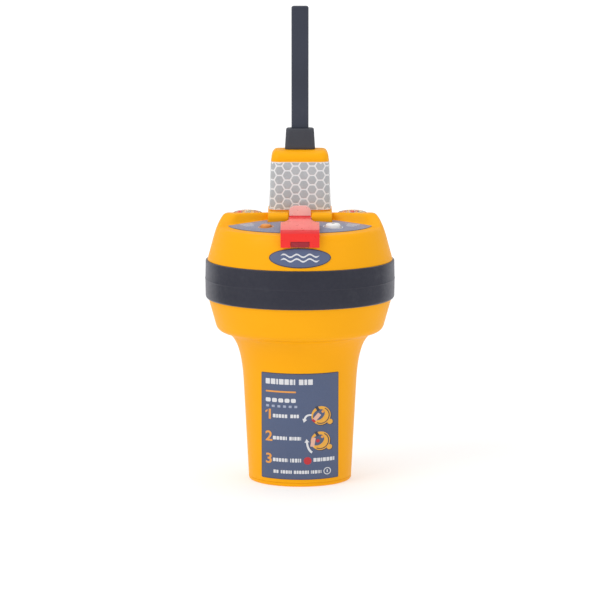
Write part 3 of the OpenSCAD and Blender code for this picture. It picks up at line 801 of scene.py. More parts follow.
def foot_profile(steps):
    """Outside of the foot as (radius, z), from the cap to the seam."""
    points = [(FOOT_R0 + 0.02, CAP_H + 0.1)]
    points += [(FOOT_R0 + (FOOT_R1 - FOOT_R0) * (z - CAP_H) / (FOOT_Z1 - CAP_H), z)
               for z in range(6, FOOT_Z1, 6)]
    points += bezier((FOOT_R1, FOOT_Z1), (FOOT_R1 + 0.7, 70), (FOOT_R1 + 4.1, 77.5), steps)
    points += bezier((35.6, 77.5), (38.6, 83.6), (42.8, 84.2), steps)[1:]
    points += bezier((42.8, 84.2), (46.4, 84.8), (47.2, 88.8), steps)[1:]
    points += [(47.2 + (50.8 - 47.2) * t, 88.8 + (101.8 - 88.8) * t)
               for t in (0.2, 0.4, 0.6, 0.8, 1.0)]
    return points


FOOT_RADII, FOOT_HEIGHTS = zip(*foot_profile(20))


def foot_radius(z):
    return float(np.interp(z, FOOT_HEIGHTS, FOOT_RADII))


def front_point(x, z, out, radius, lean):
    """Point on the front of the oval of this radius, pushed out along its normal.

    lean is the upward part of the normal.
    """
    y = -KY * math.sqrt(max(0.0, radius * radius - x * x))
    normal = Vector((x / (radius * radius), y / (KY * radius) ** 2, 0)).normalized()
    normal = Vector((normal.x, normal.y, lean)).normalized()
    return (x + normal.x * out, y + normal.y * out, z + normal.z * out)


def foot_surface(x, z, out):
    return front_point(x, z, out, foot_radius(z), lean=0.0)


def wall_surface(x, z, out):
    return front_point(x, z, out, WALL_R0 - (z - WALL_Z0) * WALL_SLOPE, lean=0.27)


def deck_surface(x, y, out):
    return (x, y, float(deck_height(np.array(math.hypot(x, y / KY)))) + out)


# ------------------------------------------------------------------ upper case
def upper_shell():
    """Outer and inner skins of the upper case, as rings closed at the middle."""
    steps = 360
    inner_r = 48.6
    angles = np.linspace(0, 2 * math.pi, steps, endpoint=False)
    verts, faces = [], []

    def ring(radius, height):
        """Adds an oval; height is a number or a function of x and y."""
        first = len(verts)
        xs, ys = radius * np.cos(angles), radius * KY * np.sin(angles)
        zs = height(xs, ys) if callable(height) else np.full_like(xs, height)
        verts.extend((float(x), float(y), float(z)) for x, y, z in zip(xs, ys, zs))
        return first

    def strip(a, b):
        for i in range(steps):
            j = (i + 1) % steps
            faces.append((a + i, a + j, b + j, b + i))

    rings = [ring(inner_r, SEAM_Z + 0.15), ring(RECESS_R, SEAM_Z + 0.15),
             ring(RECESS_R, BAND_TOP), ring(WALL_R0 - 0.25, WALL_Z0 - 0.05),
             ring(WALL_R0, WALL_Z0 + 0.2)]
    for r in np.concatenate([np.linspace(WALL_R0, 43.5, 44)[1:], np.linspace(43.2, 2, 92)]):
        rings.append(ring(r, upper_height))
    centre = len(verts)
    verts.append((0.0, 0.0, float(upper_height(np.array([0.0]), np.array([0.0]))[0])))

    inner = []
    for r in np.concatenate([np.linspace(inner_r, 40.5, 16), np.linspace(39, 2, 24)]):
        def under(x, y, r=r):
            above = upper_height(x * (r + WALL) / r, y * (r + WALL) / r)
            below = np.minimum(above, upper_height(x, y)) - WALL * 0.9
            return np.maximum(SEAM_Z + 0.3, below)
        inner.append(ring(r, under))
    inner_centre = len(verts)
    verts.append((0.0, 0.0, DECK_Z - WALL))

    for a, b in zip(rings[:-1], rings[1:]):
        strip(a, b)
    for i in range(steps):
        faces.append((rings[-1] + i, rings[-1] + (i + 1) % steps, centre))
    for a, b in zip(inner[:-1], inner[1:]):
        strip(b, a)
    for i in range(steps):
        faces.append((inner[-1] + (i + 1) % steps, inner[-1] + i, inner_centre))
    strip(inner[0], rings[0])
    return mesh_object("upper_case_shell", verts, faces, YELLOW)


def upper_case():
    shell = upper_shell()
    for node, radius in (("power_button", POWER_R + 0.15), ("test_button", TEST_R + 0.15),
                         ("status_light", WINDOW_R + 0.1)):
        lo, hi = box_mm(node)
        middle = (lo + hi) / 2
        drill(shell, radius, middle.x, middle.y, 125, 160)
    gap = 0.12  # round each lens
    for node in ("lens_left", "lens_right"):
        lo, hi = box_mm(node)
        middle = (lo + hi) / 2
        outline = oval(middle.x, middle.y, (hi.x - lo.x) / 2 + gap, (hi.y - lo.y) / 2 + gap, 64)
        cut(shell, loft("cutter", [[(x, y, z) for x, y in outline] for z in (140, 160)]))
    # slot between the knuckles, running back to the plinth
    cut(shell, box_piece("cutter", (-SLOT_X, -4.2, 144.65), (SLOT_X, 7.0, 160), 0))
    finish(shell, 38, "case_yellow", "upper_case")
    plinth = box_piece("mast_plinth", (-PLINTH_X, 7.05, 138), (PLINTH_X, 33.2, 150.15), 0.5,
                       YELLOW)
    put(plinth, "case_yellow")


def knuckles():
    """Two blocks rounded over the flap pin, one each side of the slot."""
    lo, hi = box_mm("flap_pin")
    pin_y, pin_z = (lo.y + hi.y) / 2, (lo.z + hi.z) / 2
    radius_y, radius_z, shift = 3.5, 3.45, 0.4
    back_y, bottom_z = 7.4, 145.2
    profile = []
    for i in range(17):
        a = math.radians(180 - 98 * i / 16)
        profile.append((pin_y + shift + radius_y * math.cos(a), pin_z + radius_z * math.sin(a)))
    profile += [(back_y, pin_z + 3.0), (back_y, bottom_z), (pin_y + shift - radius_y, bottom_z)]
    for name, x0, x1 in (("knuckle_left", -PLINTH_X, -SLOT_X),
                         ("knuckle_right", SLOT_X, PLINTH_X)):
        bm = prism(profile, x0, x1)
        bmesh.ops.bevel(bm, geom=[e for e in bm.edges if is_sharp(e, 60)], offset=0.75 * MM,
                        segments=5, profile=0.5, affect="EDGES")
        finish(from_bmesh(name, bm, YELLOW), 40, "case_yellow")


# ------------------------------------------------------------------ lower case
POCKET_X = 15.0  # half width of the rear pocket
POCKET_Y = 17.0  # its floor
POCKET_Z0, POCKET_Z1 = 8.0, 60.0
POCKET_ZC, POCKET_H = (POCKET_Z0 + POCKET_Z1) / 2, POCKET_Z1 - POCKET_Z0
POCKET_CORNER = 2.0


def lower_shell():
    outer = foot_profile(14) + [(RECESS_R, BAND_BOT - 0.1), (RECESS_R, SEAM_Z)]
    # the inside is lifted under the flare to keep the wall thick there
    inner = [(max(2.0, r - WALL), z + (1.6 if 34 < r < 47.3 else 0))
             for r, z in foot_profile(8)]
    inner += [(RECESS_R - WALL, BAND_BOT), (RECESS_R - WALL, SEAM_Z)]
    first = (outer[0][0] - 0.25, outer[0][1] - 0.05)
    shell = lathe("lower_case_shell", [first] + outer + inner[::-1], YELLOW, steps=256)
    hole = rounded_rect(2 * POCKET_X, POCKET_H, POCKET_CORNER, cy=POCKET_ZC)
    cut(shell, loft("cutter", [[(x, y, z) for x, z in hole] for y in (10.0, 40.0)]))
    finish(shell, 38, "case_yellow", "lower_case")


def pocket_liner():
    """Lining of the rear pocket, its rim following the oval outside of the foot."""
    back, back_rim, rim, corner, floor = [], [], [], [], []
    for x, dz in rounded_rect(2 * POCKET_X + 0.04, POCKET_H + 0.04, POCKET_CORNER, 10):
        z = dz + POCKET_ZC
        wide_x, wide_z = x * 1.09, dz * 1.04 + POCKET_ZC
        foot_y = KY * math.sqrt(max(0.0, foot_radius(z) ** 2 - x * x))
        back.append((wide_x, POCKET_Y - 2.0, wide_z))
        back_rim.append((wide_x, foot_y - 1.6, wide_z))
        rim.append((x, foot_y - 0.05, z))
        corner.append((x, POCKET_Y + 1.0, z))
        floor.append((x * 0.97, POCKET_Y, dz * 0.985 + POCKET_ZC))
    liner = loft("lanyard_pocket", [back, back_rim, rim, corner, floor], YELLOW)
    finish(liner, 40, "case_yellow")


def lanyard_eye_and_bar():
    y, z, radius = 21.6, 13.6, 4.5
    profile = [(POCKET_Y - 0.5, POCKET_Z0 - 0.3)]
    profile += [(y + radius * math.cos(math.radians(a)), z + radius * math.sin(math.radians(a)))
                for a in range(-60, 121, 10)]
    profile += [(POCKET_Y - 0.5, z + 6.8)]
    eye = from_bmesh("lanyard_eye", prism(profile, -3, 3), YELLOW)
    cut(eye, cylinder("cutter", 2.5, (-6, y, z), (6, y, z), steps=64))
    bevel(eye, 0.4, segments=3, degrees=40)
    finish(eye, 40, "case_yellow")
    end_x = POCKET_X + 0.6
    bar_y, bar_z = 20.4, 56
    put(cylinder("lanyard_bar", 1.8, (-end_x, bar_y, bar_z), (end_x, bar_y, bar_z), YELLOW,
                 steps=32, rounding=0.2), "case_yellow")


def base_cap():
    """Bottom cap with a softly rounded lower edge and four screw holes."""
    spigot_r, spigot_z = FOOT_R0 - 2.7, 5.6
    profile = [(0, 0), (FOOT_R0 - 2.4, 0)]
    profile += bezier((FOOT_R0 - 1.6, 0), (FOOT_R0, 0), (FOOT_R0, 1.5), 8)
    profile += [(FOOT_R0, CAP_H - 0.25), (FOOT_R0 - 0.25, CAP_H), (spigot_r, CAP_H),
                (spigot_r, spigot_z), (0, spigot_z)]
    cap = lathe("base_cap_shell", profile, YELLOW)
    lo, hi = box_mm("base_screws")
    screw_r = 2.1
    for x in (lo.x + screw_r, hi.x - screw_r):
        for y in (lo.y + screw_r, hi.y - screw_r):
            drill(cap, 2.3, x, y, -1, 1.2)
            drill(cap, 1.35, x, y, -1, 8)
    finish(cap, 38, "case_yellow", "base_cap")


def bumper_band():
    """Rubber band round the case, with a fine ridge round it."""
    ridge = 114.1
    inner_r = RECESS_R + 0.06
    profile = [(inner_r, BAND_BOT), (RECESS_R + 0.35, BAND_BOT)]
    profile += bezier((RECESS_R + 0.5, BAND_BOT), (BAND_R - 0.55, BAND_BOT + 0.25),
                      (BAND_R - 0.3, BAND_BOT + 1.35), 6)
    # depth in from the outside, height
    stations = ((0.22, BAND_BOT + 5), (0.17, ridge - 0.75), (0.12, ridge - 0.35),
                (0.01, ridge - 0.12), (0.01, ridge + 0.12), (0.12, ridge + 0.35),
                (0.20, ridge + 0.75), (0.28, ridge + 5))
    profile += [(BAND_R - depth, z) for depth, z in stations]
    profile += bezier((BAND_R - 0.36, BAND_TOP - 0.7), (BAND_R - 0.40, BAND_TOP),
                      (BAND_R - 0.85, BAND_TOP), 5)
    profile += [(inner_r, BAND_TOP)]
    band = lathe("bumper_band_body", profile, BAND_RUBBER, steps=256)
    finish(band, 50, "band_rubber", "bumper_band")


# ------------------------------------------------------------------ mast and tape
def mast_size(z):
    """Width, depth and middle in y of the mast at height z."""
    t = (z - MAST_BOT) / (MAST_TOP - MAST_DOME - MAST_BOT)
    t = min(max(t, 0), 1)
    return MAST_W - 1.8 * t, MAST_D - 2.0 * t, MAST_Y - 0.4 * t


def mast():
    shoulder = MAST_TOP - MAST_DOME
    rings = []
    for i, z in enumerate([MAST_BOT, MAST_BOT + 0.15] + list(np.linspace(152, shoulder, 12))):
        width, depth, y_mid = mast_size(z)
        inset = 0.3 if i == 0 else 0
        rings.append(level_rect(width - 2 * inset, depth - 2 * inset, MAST_CORNER, 12, y_mid, z))
    width, depth, y_mid = mast_size(shoulder)
    for i in range(1, 15):
        a = math.radians(90 * i / 14)
        in_x, in_y = 3.0 * (1 - math.cos(a)) ** 0.9, 5.8 * (1 - math.cos(a))
        rings.append(level_rect(width - 2 * in_x, depth - 2 * in_y,
                                max(1.8, MAST_CORNER - in_x), 12, y_mid,
                                shoulder + 5.35 * math.sin(a)))
    finish(loft("mast_shell", rings, YELLOW), 40, "case_yellow", "antenna_mast")


def mast_outline(z, grow):
    """Width, depth, corner radius, middle, half front and corner arc, grown outwards."""
    width, depth, y_mid = mast_size(z)
    width, depth, radius = width + 2 * grow, depth + 2 * grow, MAST_CORNER + grow
    return width, depth, radius, y_mid, width / 2 - radius, math.pi * radius / 2


def mast_point(u, z, grow):
    """Point at length u round the mast from its front centre, on its front or a side."""
    width, depth, radius, y_mid, flat, arc = mast_outline(z, grow)
    side = 1 if u >= 0 else -1
    run = abs(u)
    if run <= flat:
        return (side * run, y_mid - depth / 2, z)
    if run <= flat + arc:
        a = (run - flat) / radius
        return (side * (width / 2 - radius + radius * math.sin(a)),
                y_mid - depth / 2 + radius - radius * math.cos(a), z)
    return (side * width / 2, y_mid - depth / 2 + radius + (run - flat - arc), z)


def tape_half_length():
    """Length from the front centre to an end of the tape, at its middle height."""
    _, depth, radius, _, flat, arc = mast_outline(164, 0.3)
    return flat + arc + (depth - 2 * radius) * 0.93


TAPE_Z0, TAPE_Z1 = 150.95, 177.7
TAPE_END = tape_half_length()


def tape_sheet():
    across = np.round(np.linspace(-TAPE_END, TAPE_END, 97), 4)
    rows, n = 10, 97
    verts, faces = [], []
    for grow in (0.05, 0.24):
        for k in range(rows + 1):
            z = TAPE_Z0 + (TAPE_Z1 - TAPE_Z0) * k / rows
            verts += [mast_point(u, z, grow) for u in across]

    def at(layer, k, i):
        return (layer * (rows + 1) + k) * n + i

    for k in range(rows):
        for i in range(n - 1):
            faces.append((at(1, k, i), at(1, k, i + 1), at(1, k + 1, i + 1), at(1, k + 1, i)))
            faces.append((at(0, k, i + 1), at(0, k, i), at(0, k + 1, i), at(0, k + 1, i + 1)))
    for i in range(n - 1):
        faces.append((at(0, 0, i), at(0, 0, i + 1), at(1, 0, i + 1), at(1, 0, i)))
        faces.append((at(1, rows, i), at(1, rows, i + 1), at(0, rows, i + 1), at(0, rows, i)))
    last = n - 1
    for k in range(rows):
        faces.append((at(1, k, 0), at(1, k + 1, 0), at(0, k + 1, 0), at(0, k, 0)))
        faces.append((at(0, k, last), at(0, k + 1, last), at(1, k + 1, last), at(1, k, last)))
    sheet = mesh_object("tape_sheet", verts, faces, TAPE_BASE)
    finish(sheet, 40, "retro_tape", "reflective_tape")


def clip_poly(poly, axis, value, below):
    """The part of a polygon below, or above, a value of one coordinate."""
    out = []
    for i, p in enumerate(poly):
        q = poly[(i + 1) % len(poly)]
        p_in = (p[axis] <= value) if below else (p[axis] >= value)
        q_in = (q[axis] <= value) if below else (q[axis] >= value)
        if p_in:
            out.append(p)
        if p_in != q_in:
            t = (value - p[axis]) / (q[axis] - p[axis])
            out.append(tuple(p[k] + t * (q[k] - p[k]) for k in range(2)))
    return out


def rounded_hexagon(cu, cz, half, shift):
    """Hexagon with level top and bottom, its corners rounded, moved by shift."""
    side = half * 2 / math.sqrt(3)
    corners = [(cu + side, cz), (cu + side / 2, cz + half), (cu - side / 2, cz + half),
               (cu - side, cz), (cu - side / 2, cz - half), (cu + side / 2, cz - half)]
    points = []
    for i, p in enumerate(corners):
        ends = [(p[0] + (q[0] - p[0]) * 0.16, p[1] + (q[1] - p[1]) * 0.16)
                for q in (corners[i - 1], corners[(i + 1) % 6])]
        points += [(u + shift[0], z + shift[1]) for u, z in bezier(ends[0], p, ends[1], 3)]
    return points


def polygon_area(poly):
    return abs(sum(p[0] * q[1] - q[0] * p[1] for p, q in zip(poly, poly[1:] + poly[:1]))) / 2


def tape_cells():
    """Raised honeycomb cells on the tape, clipped to its edges."""
    row_pitch, column_pitch, gap, border = 5.25, 4.58, 0.78, 0.25
    smallest_area = 0.6
    limits = ((0, TAPE_END - border, True), (0, -TAPE_END + border, False),
              (1, TAPE_Z1 - border, True), (1, TAPE_Z0 + border, False))
    verts, faces = [], []
    rng = np.random.RandomState(7)
    for column in range(-9, 10):
        cu = 2.15 + column_pitch * (column - 1)
        stagger = 0 if column % 2 == 0 else row_pitch / 2
        for row in range(-1, 8):
            cz = 172.9 - row * row_pitch + stagger
            shift = rng.uniform(-0.06, 0.06, 2) * 0.3
            poly = rounded_hexagon(cu, cz, (row_pitch - gap) / 2, shift)
            for axis, value, below in limits:
                poly = clip_poly(poly, axis, value, below)
            if len(poly) < 3 or polygon_area(poly) < smallest_area:
                continue
            n = len(poly)
            gu, gz = sum(p[0] for p in poly) / n, sum(p[1] for p in poly) / n
            base = len(verts)
            # height above the mast, scale about the middle
            for grow, scale in ((0.20, 1.0), (0.27, 1.0), (0.31, 0.93), (0.31, 0.5)):
                for u, z in poly:
                    verts.append(mast_point(gu + (u - gu) * scale, gz + (z - gz) * scale, grow))
            verts.append(mast_point(gu, gz, 0.31))
            for k in range(3):
                low, high = base + k * n, base + (k + 1) * n
                for i in range(n):
                    j = (i + 1) % n
                    faces.append((low + i, low + j, high + j, high + i))
            for i in range(n):
                faces.append((base + 3 * n + i, base + 3 * n + (i + 1) % n, base + 4 * n))
            faces.append(tuple(base + i for i in range(n - 1, -1, -1)))
    finish(mesh_object("tape_cells", verts, faces, TAPE_CELL), 45, "retro_tape")


# ------------------------------------------------------------------ boot and whip
def boot():
    lo, hi = box_mm("antenna_boot")
    width, depth, height = hi.x - lo.x, hi.y - lo.y, hi.z - lo.z
    y_mid = (lo.y + hi.y) / 2
    # part of the height, growth of the outline
    stations = ((0.0, -0.2), (0.02, 0), (0.2, 0), (0.4, 0), (0.6, 0), (0.8, 0),
                (0.90, -0.02), (0.95, -0.10), (0.98, -0.28), (1.0, -0.75))
    rings = []
    for t, grow in stations:
        rings.append(level_rect(width - 1.4 * t + 2 * grow, depth - 2.4 * t + 2 * grow,
                                2.3 + grow * 0.5, 8, y_mid, lo.z + height * t))
    # dished top round the whip
    rings.append(level_rect(11.0, 4.6, 1.2, 8, y_mid, hi.z - 0.1))
    rings.append(level_rect(9.5, 3.5, 0.5, 8, y_mid, hi.z - 0.9))
    finish(loft("boot_body", rings, BOOT), 50, "boot_rubber", "antenna_boot")


def whip():
    """Flat whip in four skins, one for each segment, meeting with open ends."""
    segments = ("whip_segment_1", "whip_segment_2", "whip_segment_3", "whip_tip")
    lo, hi = box_mm(segments[0])
    width, thick = hi.x - lo.x, hi.y - lo.y
    y_mid = (lo.y + hi.y) / 2
    corner = min(1.15, thick / 2 - 0.05)
    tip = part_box("whip_tip")[1].z * 1000
    tip_r = 1.3
    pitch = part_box(segments[1])[0].z * 1000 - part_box(segments[0])[0].z * 1000
    bends = [j["pos_m"][2] * 1000 for j in frame["joints"] if j["name"].startswith("whip_bend")]
    ends = [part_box("whip_root")[0].z * 1000]
    ends += [z + pitch / 2 - 0.6 for z in bends[:3]] + [tip - tip_r]

    def section(z, grow=0.0):
        return level_rect(width + 2 * grow, thick + 2 * grow, corner + grow * 0.5, 6, y_mid, z)

    for k, node in enumerate(segments):
        rings = [section(z) for z in np.linspace(ends[k], ends[k + 1], 26)]
        if node == "whip_tip":
            for i in range(1, 7):
                a = math.radians(15 * i)
                rings.append(section(tip - tip_r + tip_r * math.sin(a),
                                     -tip_r * (1 - math.cos(a))))
        skin = auto_smooth(loft("whip_skin_%d" % (k + 1), rings, WHIP), 50)
        # the skins meet with open ends; only the tip keeps its cap
        with editing(skin.data) as bm:
            caps = [f for f in bm.faces
                    if len(f.verts) > 8 and f.verts[0].co.z < (tip - 2) * MM]
            bmesh.ops.delete(bm, geom=caps, context="FACES_ONLY")
        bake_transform(skin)
        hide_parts(node)
        if k == 0:
            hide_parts("whip_root")


# ------------------------------------------------------------------ flap and tab
def flap():
    """Flap over the deck, with other reds on its raised back and at both ends: a darker red of
    painted shade on the back and the front, and a pale red with a painted backlight glow on the
    tongue.
    """
    # limits of the reds, in metres
    back_y, front_y, front_z = -0.0098, -0.0415, 0.1449
    ob = refine("flap", "flap_body", FLAP, "flap_red", "flap", width=0.35, segments=4,
                degrees=24)
    ob.data.materials.append(FLAP_THIN_BACKLIT)
    ob.data.materials.append(FLAP_PAINTED_SHADE)
    with editing(ob.data) as bm:
        for point, normal in (((0, back_y, 0), (0, 1, 0)), ((0, front_y, 0), (0, 1, 0)),
                              ((0, 0, front_z), (0, 0, 1))):
            bmesh.ops.bisect_plane(bm, geom=list(bm.verts) + list(bm.edges) + list(bm.faces),
                                   plane_co=point, plane_no=normal, dist=1e-7)
        for face in bm.faces:
            c = face.calc_center_median()
            # tongue: pale red of painted backlight
            if c.z > 0.1492 and c.y > -0.006:
                face.material_index = 1
            # painted shade on the raised back and the front edge
            elif (c.y > back_y and c.z > 0.1475) or (c.y < front_y and c.z > front_z):
                face.material_index = 2
            else:
                face.material_index = 0


# ------------------------------------------------------------------ flat artwork
def poly_bm(*polys):
    bm = bmesh.new()
    for poly in polys:
        bm.faces.new([bm.verts.new((x, z, 0)) for x, z in poly])
    return bm


def strip_bm(first, second, closed=False):
    """Quads between two lines of points."""
    bm = bmesh.new()
    a, b = [[bm.verts.new((x, z, 0)) for x, z in line] for line in (first, second)]
    n = len(a)
    for i in range(n if closed else n - 1):
        j = (i + 1) % n
        bm.faces.new((a[i], a[j], b[j], b[i]))
    return bm


def text_bm(text, size, cx, cz):
    curve = bpy.data.curves.new("text", "FONT")
    curve.body = text
    curve.size = size
    curve.align_x = "CENTER"
    curve.align_y = "CENTER"
    curve.offset = 0.022 * size
    mesh = curve_to_mesh(curve)
    bm = bmesh.new()
    bm.from_mesh(mesh)
    bmesh.ops.dissolve_limit(bm, angle_limit=0.01, verts=bm.verts, edges=bm.edges)
    for v in bm.verts:
        v.co = Vector((v.co.x + cx, v.co.y + cz, 0))
    bpy.data.meshes.remove(mesh)
    return bm


def curve_to_mesh(curve):
    ob = link(bpy.data.objects.new(curve.name, curve))
    bpy.context.view_layer.update()
    graph = bpy.context.evaluated_depsgraph_get()
    mesh = bpy.data.meshes.new_from_object(ob.evaluated_get(graph))
    bpy.data.objects.remove(ob)
    bpy.data.curves.remove(curve)
    return mesh


def bar(x0, x1, z, height, radius):
    return rounded_rect(x1 - x0, height, radius, 4, cx=(x0 + x1) / 2, cy=z)


def print_row(x0, x1, z, height, widths, gap):
    """A printed line as plain blocks, the widths taking turns between x0 and x1."""
    blocks, x, i = [], x0, 0
    while x < x1 - 0.3:
        width = min(widths[i % len(widths)], x1 - x)
        blocks.append(bar(x, x + width, z, height, 0.22))
        x += width + gap
        i += 1
    return poly_bm(*blocks)


def ring_bm(cx, cz, inner, outer, steps=40, start=0, sweep=360):
    lines = [oval(cx, cz, r, None, steps, start, sweep) for r in (inner, outer)]
    return strip_bm(*lines, closed=sweep == 360)


def turned(poly, cx, cz, degrees):
    """Polygon turned about the origin, then moved to (cx, cz)."""
    c, s = math.cos(math.radians(degrees)), math.sin(math.radians(degrees))
    return [(cx + x * c - z * s, cz + x * s + z * c) for x, z in poly]


def arrow(start, pull, end, width0, width1, head):
    """Curved arrow, its shaft going from width0 to width1."""
    steps = 14
    path = bezier(start, pull, end, steps)
    left, right = [], []
    for i, (x, z) in enumerate(path):
        a, b = path[max(0, i - 1)], path[min(steps, i + 1)]
        length = math.hypot(b[0] - a[0], b[1] - a[1])
        nx, nz = -(b[1] - a[1]) / length, (b[0] - a[0]) / length
        half = (width0 + (width1 - width0) * i / steps) / 2
        left.append((x + nx * half, z + nz * half))
        right.append((x - nx * half, z - nz * half))
    along = Vector((path[-1][0] - path[-2][0], path[-1][1] - path[-2][1])).normalized()
    across = Vector((-along.y, along.x))
    tip = Vector(path[-1])
    triangle = [tuple(tip + across * head), tuple(tip + along * head * 1.5),
                tuple(tip - across * head)]
    return [strip_bm(left, right), poly_bm(triangle)]


def wave(x0, x1, z_mid, swing, period, height, steps=60):
    """Wavy bar with narrowed ends."""
    top, bottom = [], []
    for i in range(steps + 1):
        x = x0 + (x1 - x0) * i / steps
        z = z_mid + swing * math.sin(2 * math.pi * (x - x0) / period)
        taper = min(1.0, min(i, steps - i) / (steps * 0.08) + 0.15)
        top.append((x, z + height / 2 * taper))
        bottom.append((x, z - height / 2 * taper))
    return strip_bm(top, bottom)


def decal(name, art, surface, out, mat, *replaces, slot="label_blue", thick=0.05, axis=0):
    """Wraps flat artwork on to a surface, with a small thickness.

    The art is sliced finely along axis and coarsely along the other so that it can bend.
    """
    fine, coarse = 1.2, 3.6
    bm = bmesh.new()
    for part in art:
        mesh = bpy.data.meshes.new("part")
        part.to_mesh(mesh)
        part.free()
        bm.from_mesh(mesh)
        bpy.data.meshes.remove(mesh)
    for k in (0, 1):
        values = [v.co[k] for v in bm.verts]
        low, high = min(values), max(values)
        step = fine if k == axis else coarse
        normal = (1, 0, 0) if k == 0 else (0, 1, 0)
        slice_no = math.floor(low / step) + 1
        while slice_no * step < high:
            point = Vector(normal) * 0
            point[k] = slice_no * step
            bmesh.ops.bisect_plane(bm, geom=list(bm.verts) + list(bm.edges) + list(bm.faces),
                                   plane_co=point, plane_no=normal, dist=1e-5)
            slice_no += 1
    bmesh.ops.triangulate(bm, faces=[f for f in bm.faces if len(f.verts) > 4])
    flat = [(v.co.x, v.co.y) for v in bm.verts]
    n = len(flat)
    verts = [surface(a, b, out) for a, b in flat]
    verts += [surface(a, b, out - thick) for a, b in flat]
    bm.verts.index_update()
    faces = [tuple(v.index for v in f.verts) for f in bm.faces]
    sides = []
    for edge in bm.edges:
        if len(edge.link_faces) == 1:
            loop = edge.link_loops[0]
            a, b = loop.vert.index, loop.link_loop_next.vert.index
            sides.append((b, a, a + n, b + n))
    bm.free()
    under = [tuple(i + n for i in f[::-1]) for f in faces]
    ob = mesh_object(name, verts, faces + under + sides, mat)
    finish(ob, 40, slot, *replaces)


# ------------------------------------------------------------------ instruction label
# rows of print: x from, x to, z, height, block widths, gap
HEADING_ROWS = (
    (-18.8, -2.6, 59.9, 3.1, (2.3, 2.5, 1.0, 2.5, 2.4, 1.6), 0.5),
    (-0.6, 7.4, 59.9, 3.1, (2.5, 1.5, 2.6), 0.5),
)
STEP_ROWS = (
    (-14.9, -6.4, 40.4, 2.0, (1.5, 1.0, 1.4, 1.3, 1.4), 0.32),
    (-5.3, -0.6, 40.5, 2.0, (1.5, 1.3, 1.3), 0.32),
    (-14.9, -7.2, 27.8, 2.0, (1.7, 1.4, 1.3, 1.3), 0.32),
    (-5.9, 0.6, 27.8, 2.0, (1.4, 0.7, 1.3, 1.4), 0.32),
    (-14.9, -6.6, 15.3, 2.0, (1.5, 1.1, 1.4, 1.2, 1.2), 0.32),
    (-5.4, 0.6, 15.3, 2.2, (0.6, 1.2, 1.4, 0.6), 0.4),
    (7.4, 18.9, 15.5, 2.1, (1.7, 1.8, 0.7, 1.7, 1.5, 1.5), 0.32),
    (-14.6, -11.8, 8.6, 1.9, (1.3, 1.1), 0.3),
    (-10.6, -4.4, 8.6, 1.9, (0.8, 1.3, 1.2, 0.8), 0.3),
    (-3.4, 4.9, 8.6, 1.9, (1.3, 1.0, 1.3, 1.2, 1.2), 0.3),
    (6.0, 11.8, 8.6, 1.9, (0.5, 1.0, 1.2, 0.5), 0.35),
)


def instruction_label():
    lo, hi = box_mm("instruction_label")
    width, height, z_mid = 2 * hi.x, hi.z - lo.z, (lo.z + hi.z) / 2
    decal("instruction_label_edge", [poly_bm(rounded_rect(width, height, 0.55, 6, cy=z_mid))],
          foot_surface, 0.20, LABEL_EDGE, thick=0.18)
    face = rounded_rect(width - 0.6, height - 0.6, 0.35, 6, cy=z_mid)
    decal("instruction_label_face", [poly_bm(face)], foot_surface, 0.30, LABEL,
          "instruction_label", thick=0.15)

    white = [print_row(*row) for row in HEADING_ROWS]
    white.append(poly_bm(*[bar(-18.8 + 3.45 * i, -16.1 + 3.45 * i, 49.3, 2.3, 0.7)
                           for i in range(5)]))
    white += [print_row(*row) for row in STEP_ROWS]
    white.append(ring_bm(15.0, 8.7, 1.6, 2.05))
    white.append(poly_bm(bar(14.7, 15.3, 8.7, 1.6, 0.2)))

    orange = [poly_bm(bar(-18.8, -2.2, 54.2, 0.9, 0.4))]
    for digit, x, z in (("1", -16.6, 40.9), ("2", -17.1, 28.3), ("3", -17.1, 15.5)):
        orange.append(text_bm(digit, 7.9, x, z))
    # slanted flag on the left of the first digit
    orange.append(poly_bm([(-17.85, 43.7), (-19.0, 42.7), (-19.0, 41.7), (-17.85, 42.6)]))

    pale = poly_bm(*[bar(-18.6 + 3.1 * i, -17.0 + 3.1 * i, 45.9, 1.3, 0.2) for i in range(6)])
    for color, art, mat in (("white", white, PRINT_WHITE), ("orange", orange, PRINT_ORANGE),
                            ("pale", [pale], PRINT_PALE),
                            ("red", [poly_bm(oval(4.2, 15.1, 2.15))], PRINT_RED)):
        decal("label_print_" + color, art, foot_surface, PRINT_OUT, mat)


def pictogram(name, cx, cz, flap_place, knob, arrow_art):
    """The case from above with a curved arrow.

    flap_place: x and z from the centre, and turn in degrees.
    knob: name, outline and lift of the small red piece.
    """
    def lay(part, art, lift, mat):
        decal(f"{name}_{part}", art, foot_surface, PRINT_OUT + lift, mat)

    lay("rim", [poly_bm(oval(cx + 0.4, cz - 0.35, 5.4), oval(cx + 5.2, cz - 4.1, 1.65))],
        0, LABEL_EDGE)
    lay("disc", [poly_bm(oval(cx, cz, 5.3), oval(cx + 4.95, cz - 3.85, 1.5))],
        0.03, PRINT_YELLOW)
    lay("band", [ring_bm(cx, cz, 4.25, 4.75, steps=28, start=-118, sweep=180)],
        0.06, LABEL_EDGE)
    lay("deck", [poly_bm(turned(oval(0, 0, 3.6, 2.7, 32), cx - 1.2, cz + 0.5, 40))],
        0.06, LABEL)
    lay("mast", [poly_bm(turned(bar(-0.8, 0.8, 0, 2.8, 0.3), cx - 1.9, cz + 4.0, 32))],
        0.09, LABEL_EDGE)
    flap_x, flap_z, flap_turn = flap_place
    flap_art = turned(bar(-2.6, 2.6, 0, 2.2, 0.3), cx + flap_x, cz + flap_z, flap_turn)
    lay("flap", [poly_bm(flap_art)], 0.12, PRINT_PINK)
    lay("lamp", [poly_bm(oval(cx + 1.0, cz + 2.2, 0.75))], 0.12, PRINT_ORANGE)
    knob_name, outline, lift = knob
    lay(knob_name, [poly_bm(outline)], lift, PRINT_RED)
    lay("arrow", arrow_art, 0.05, PRINT_WHITE)


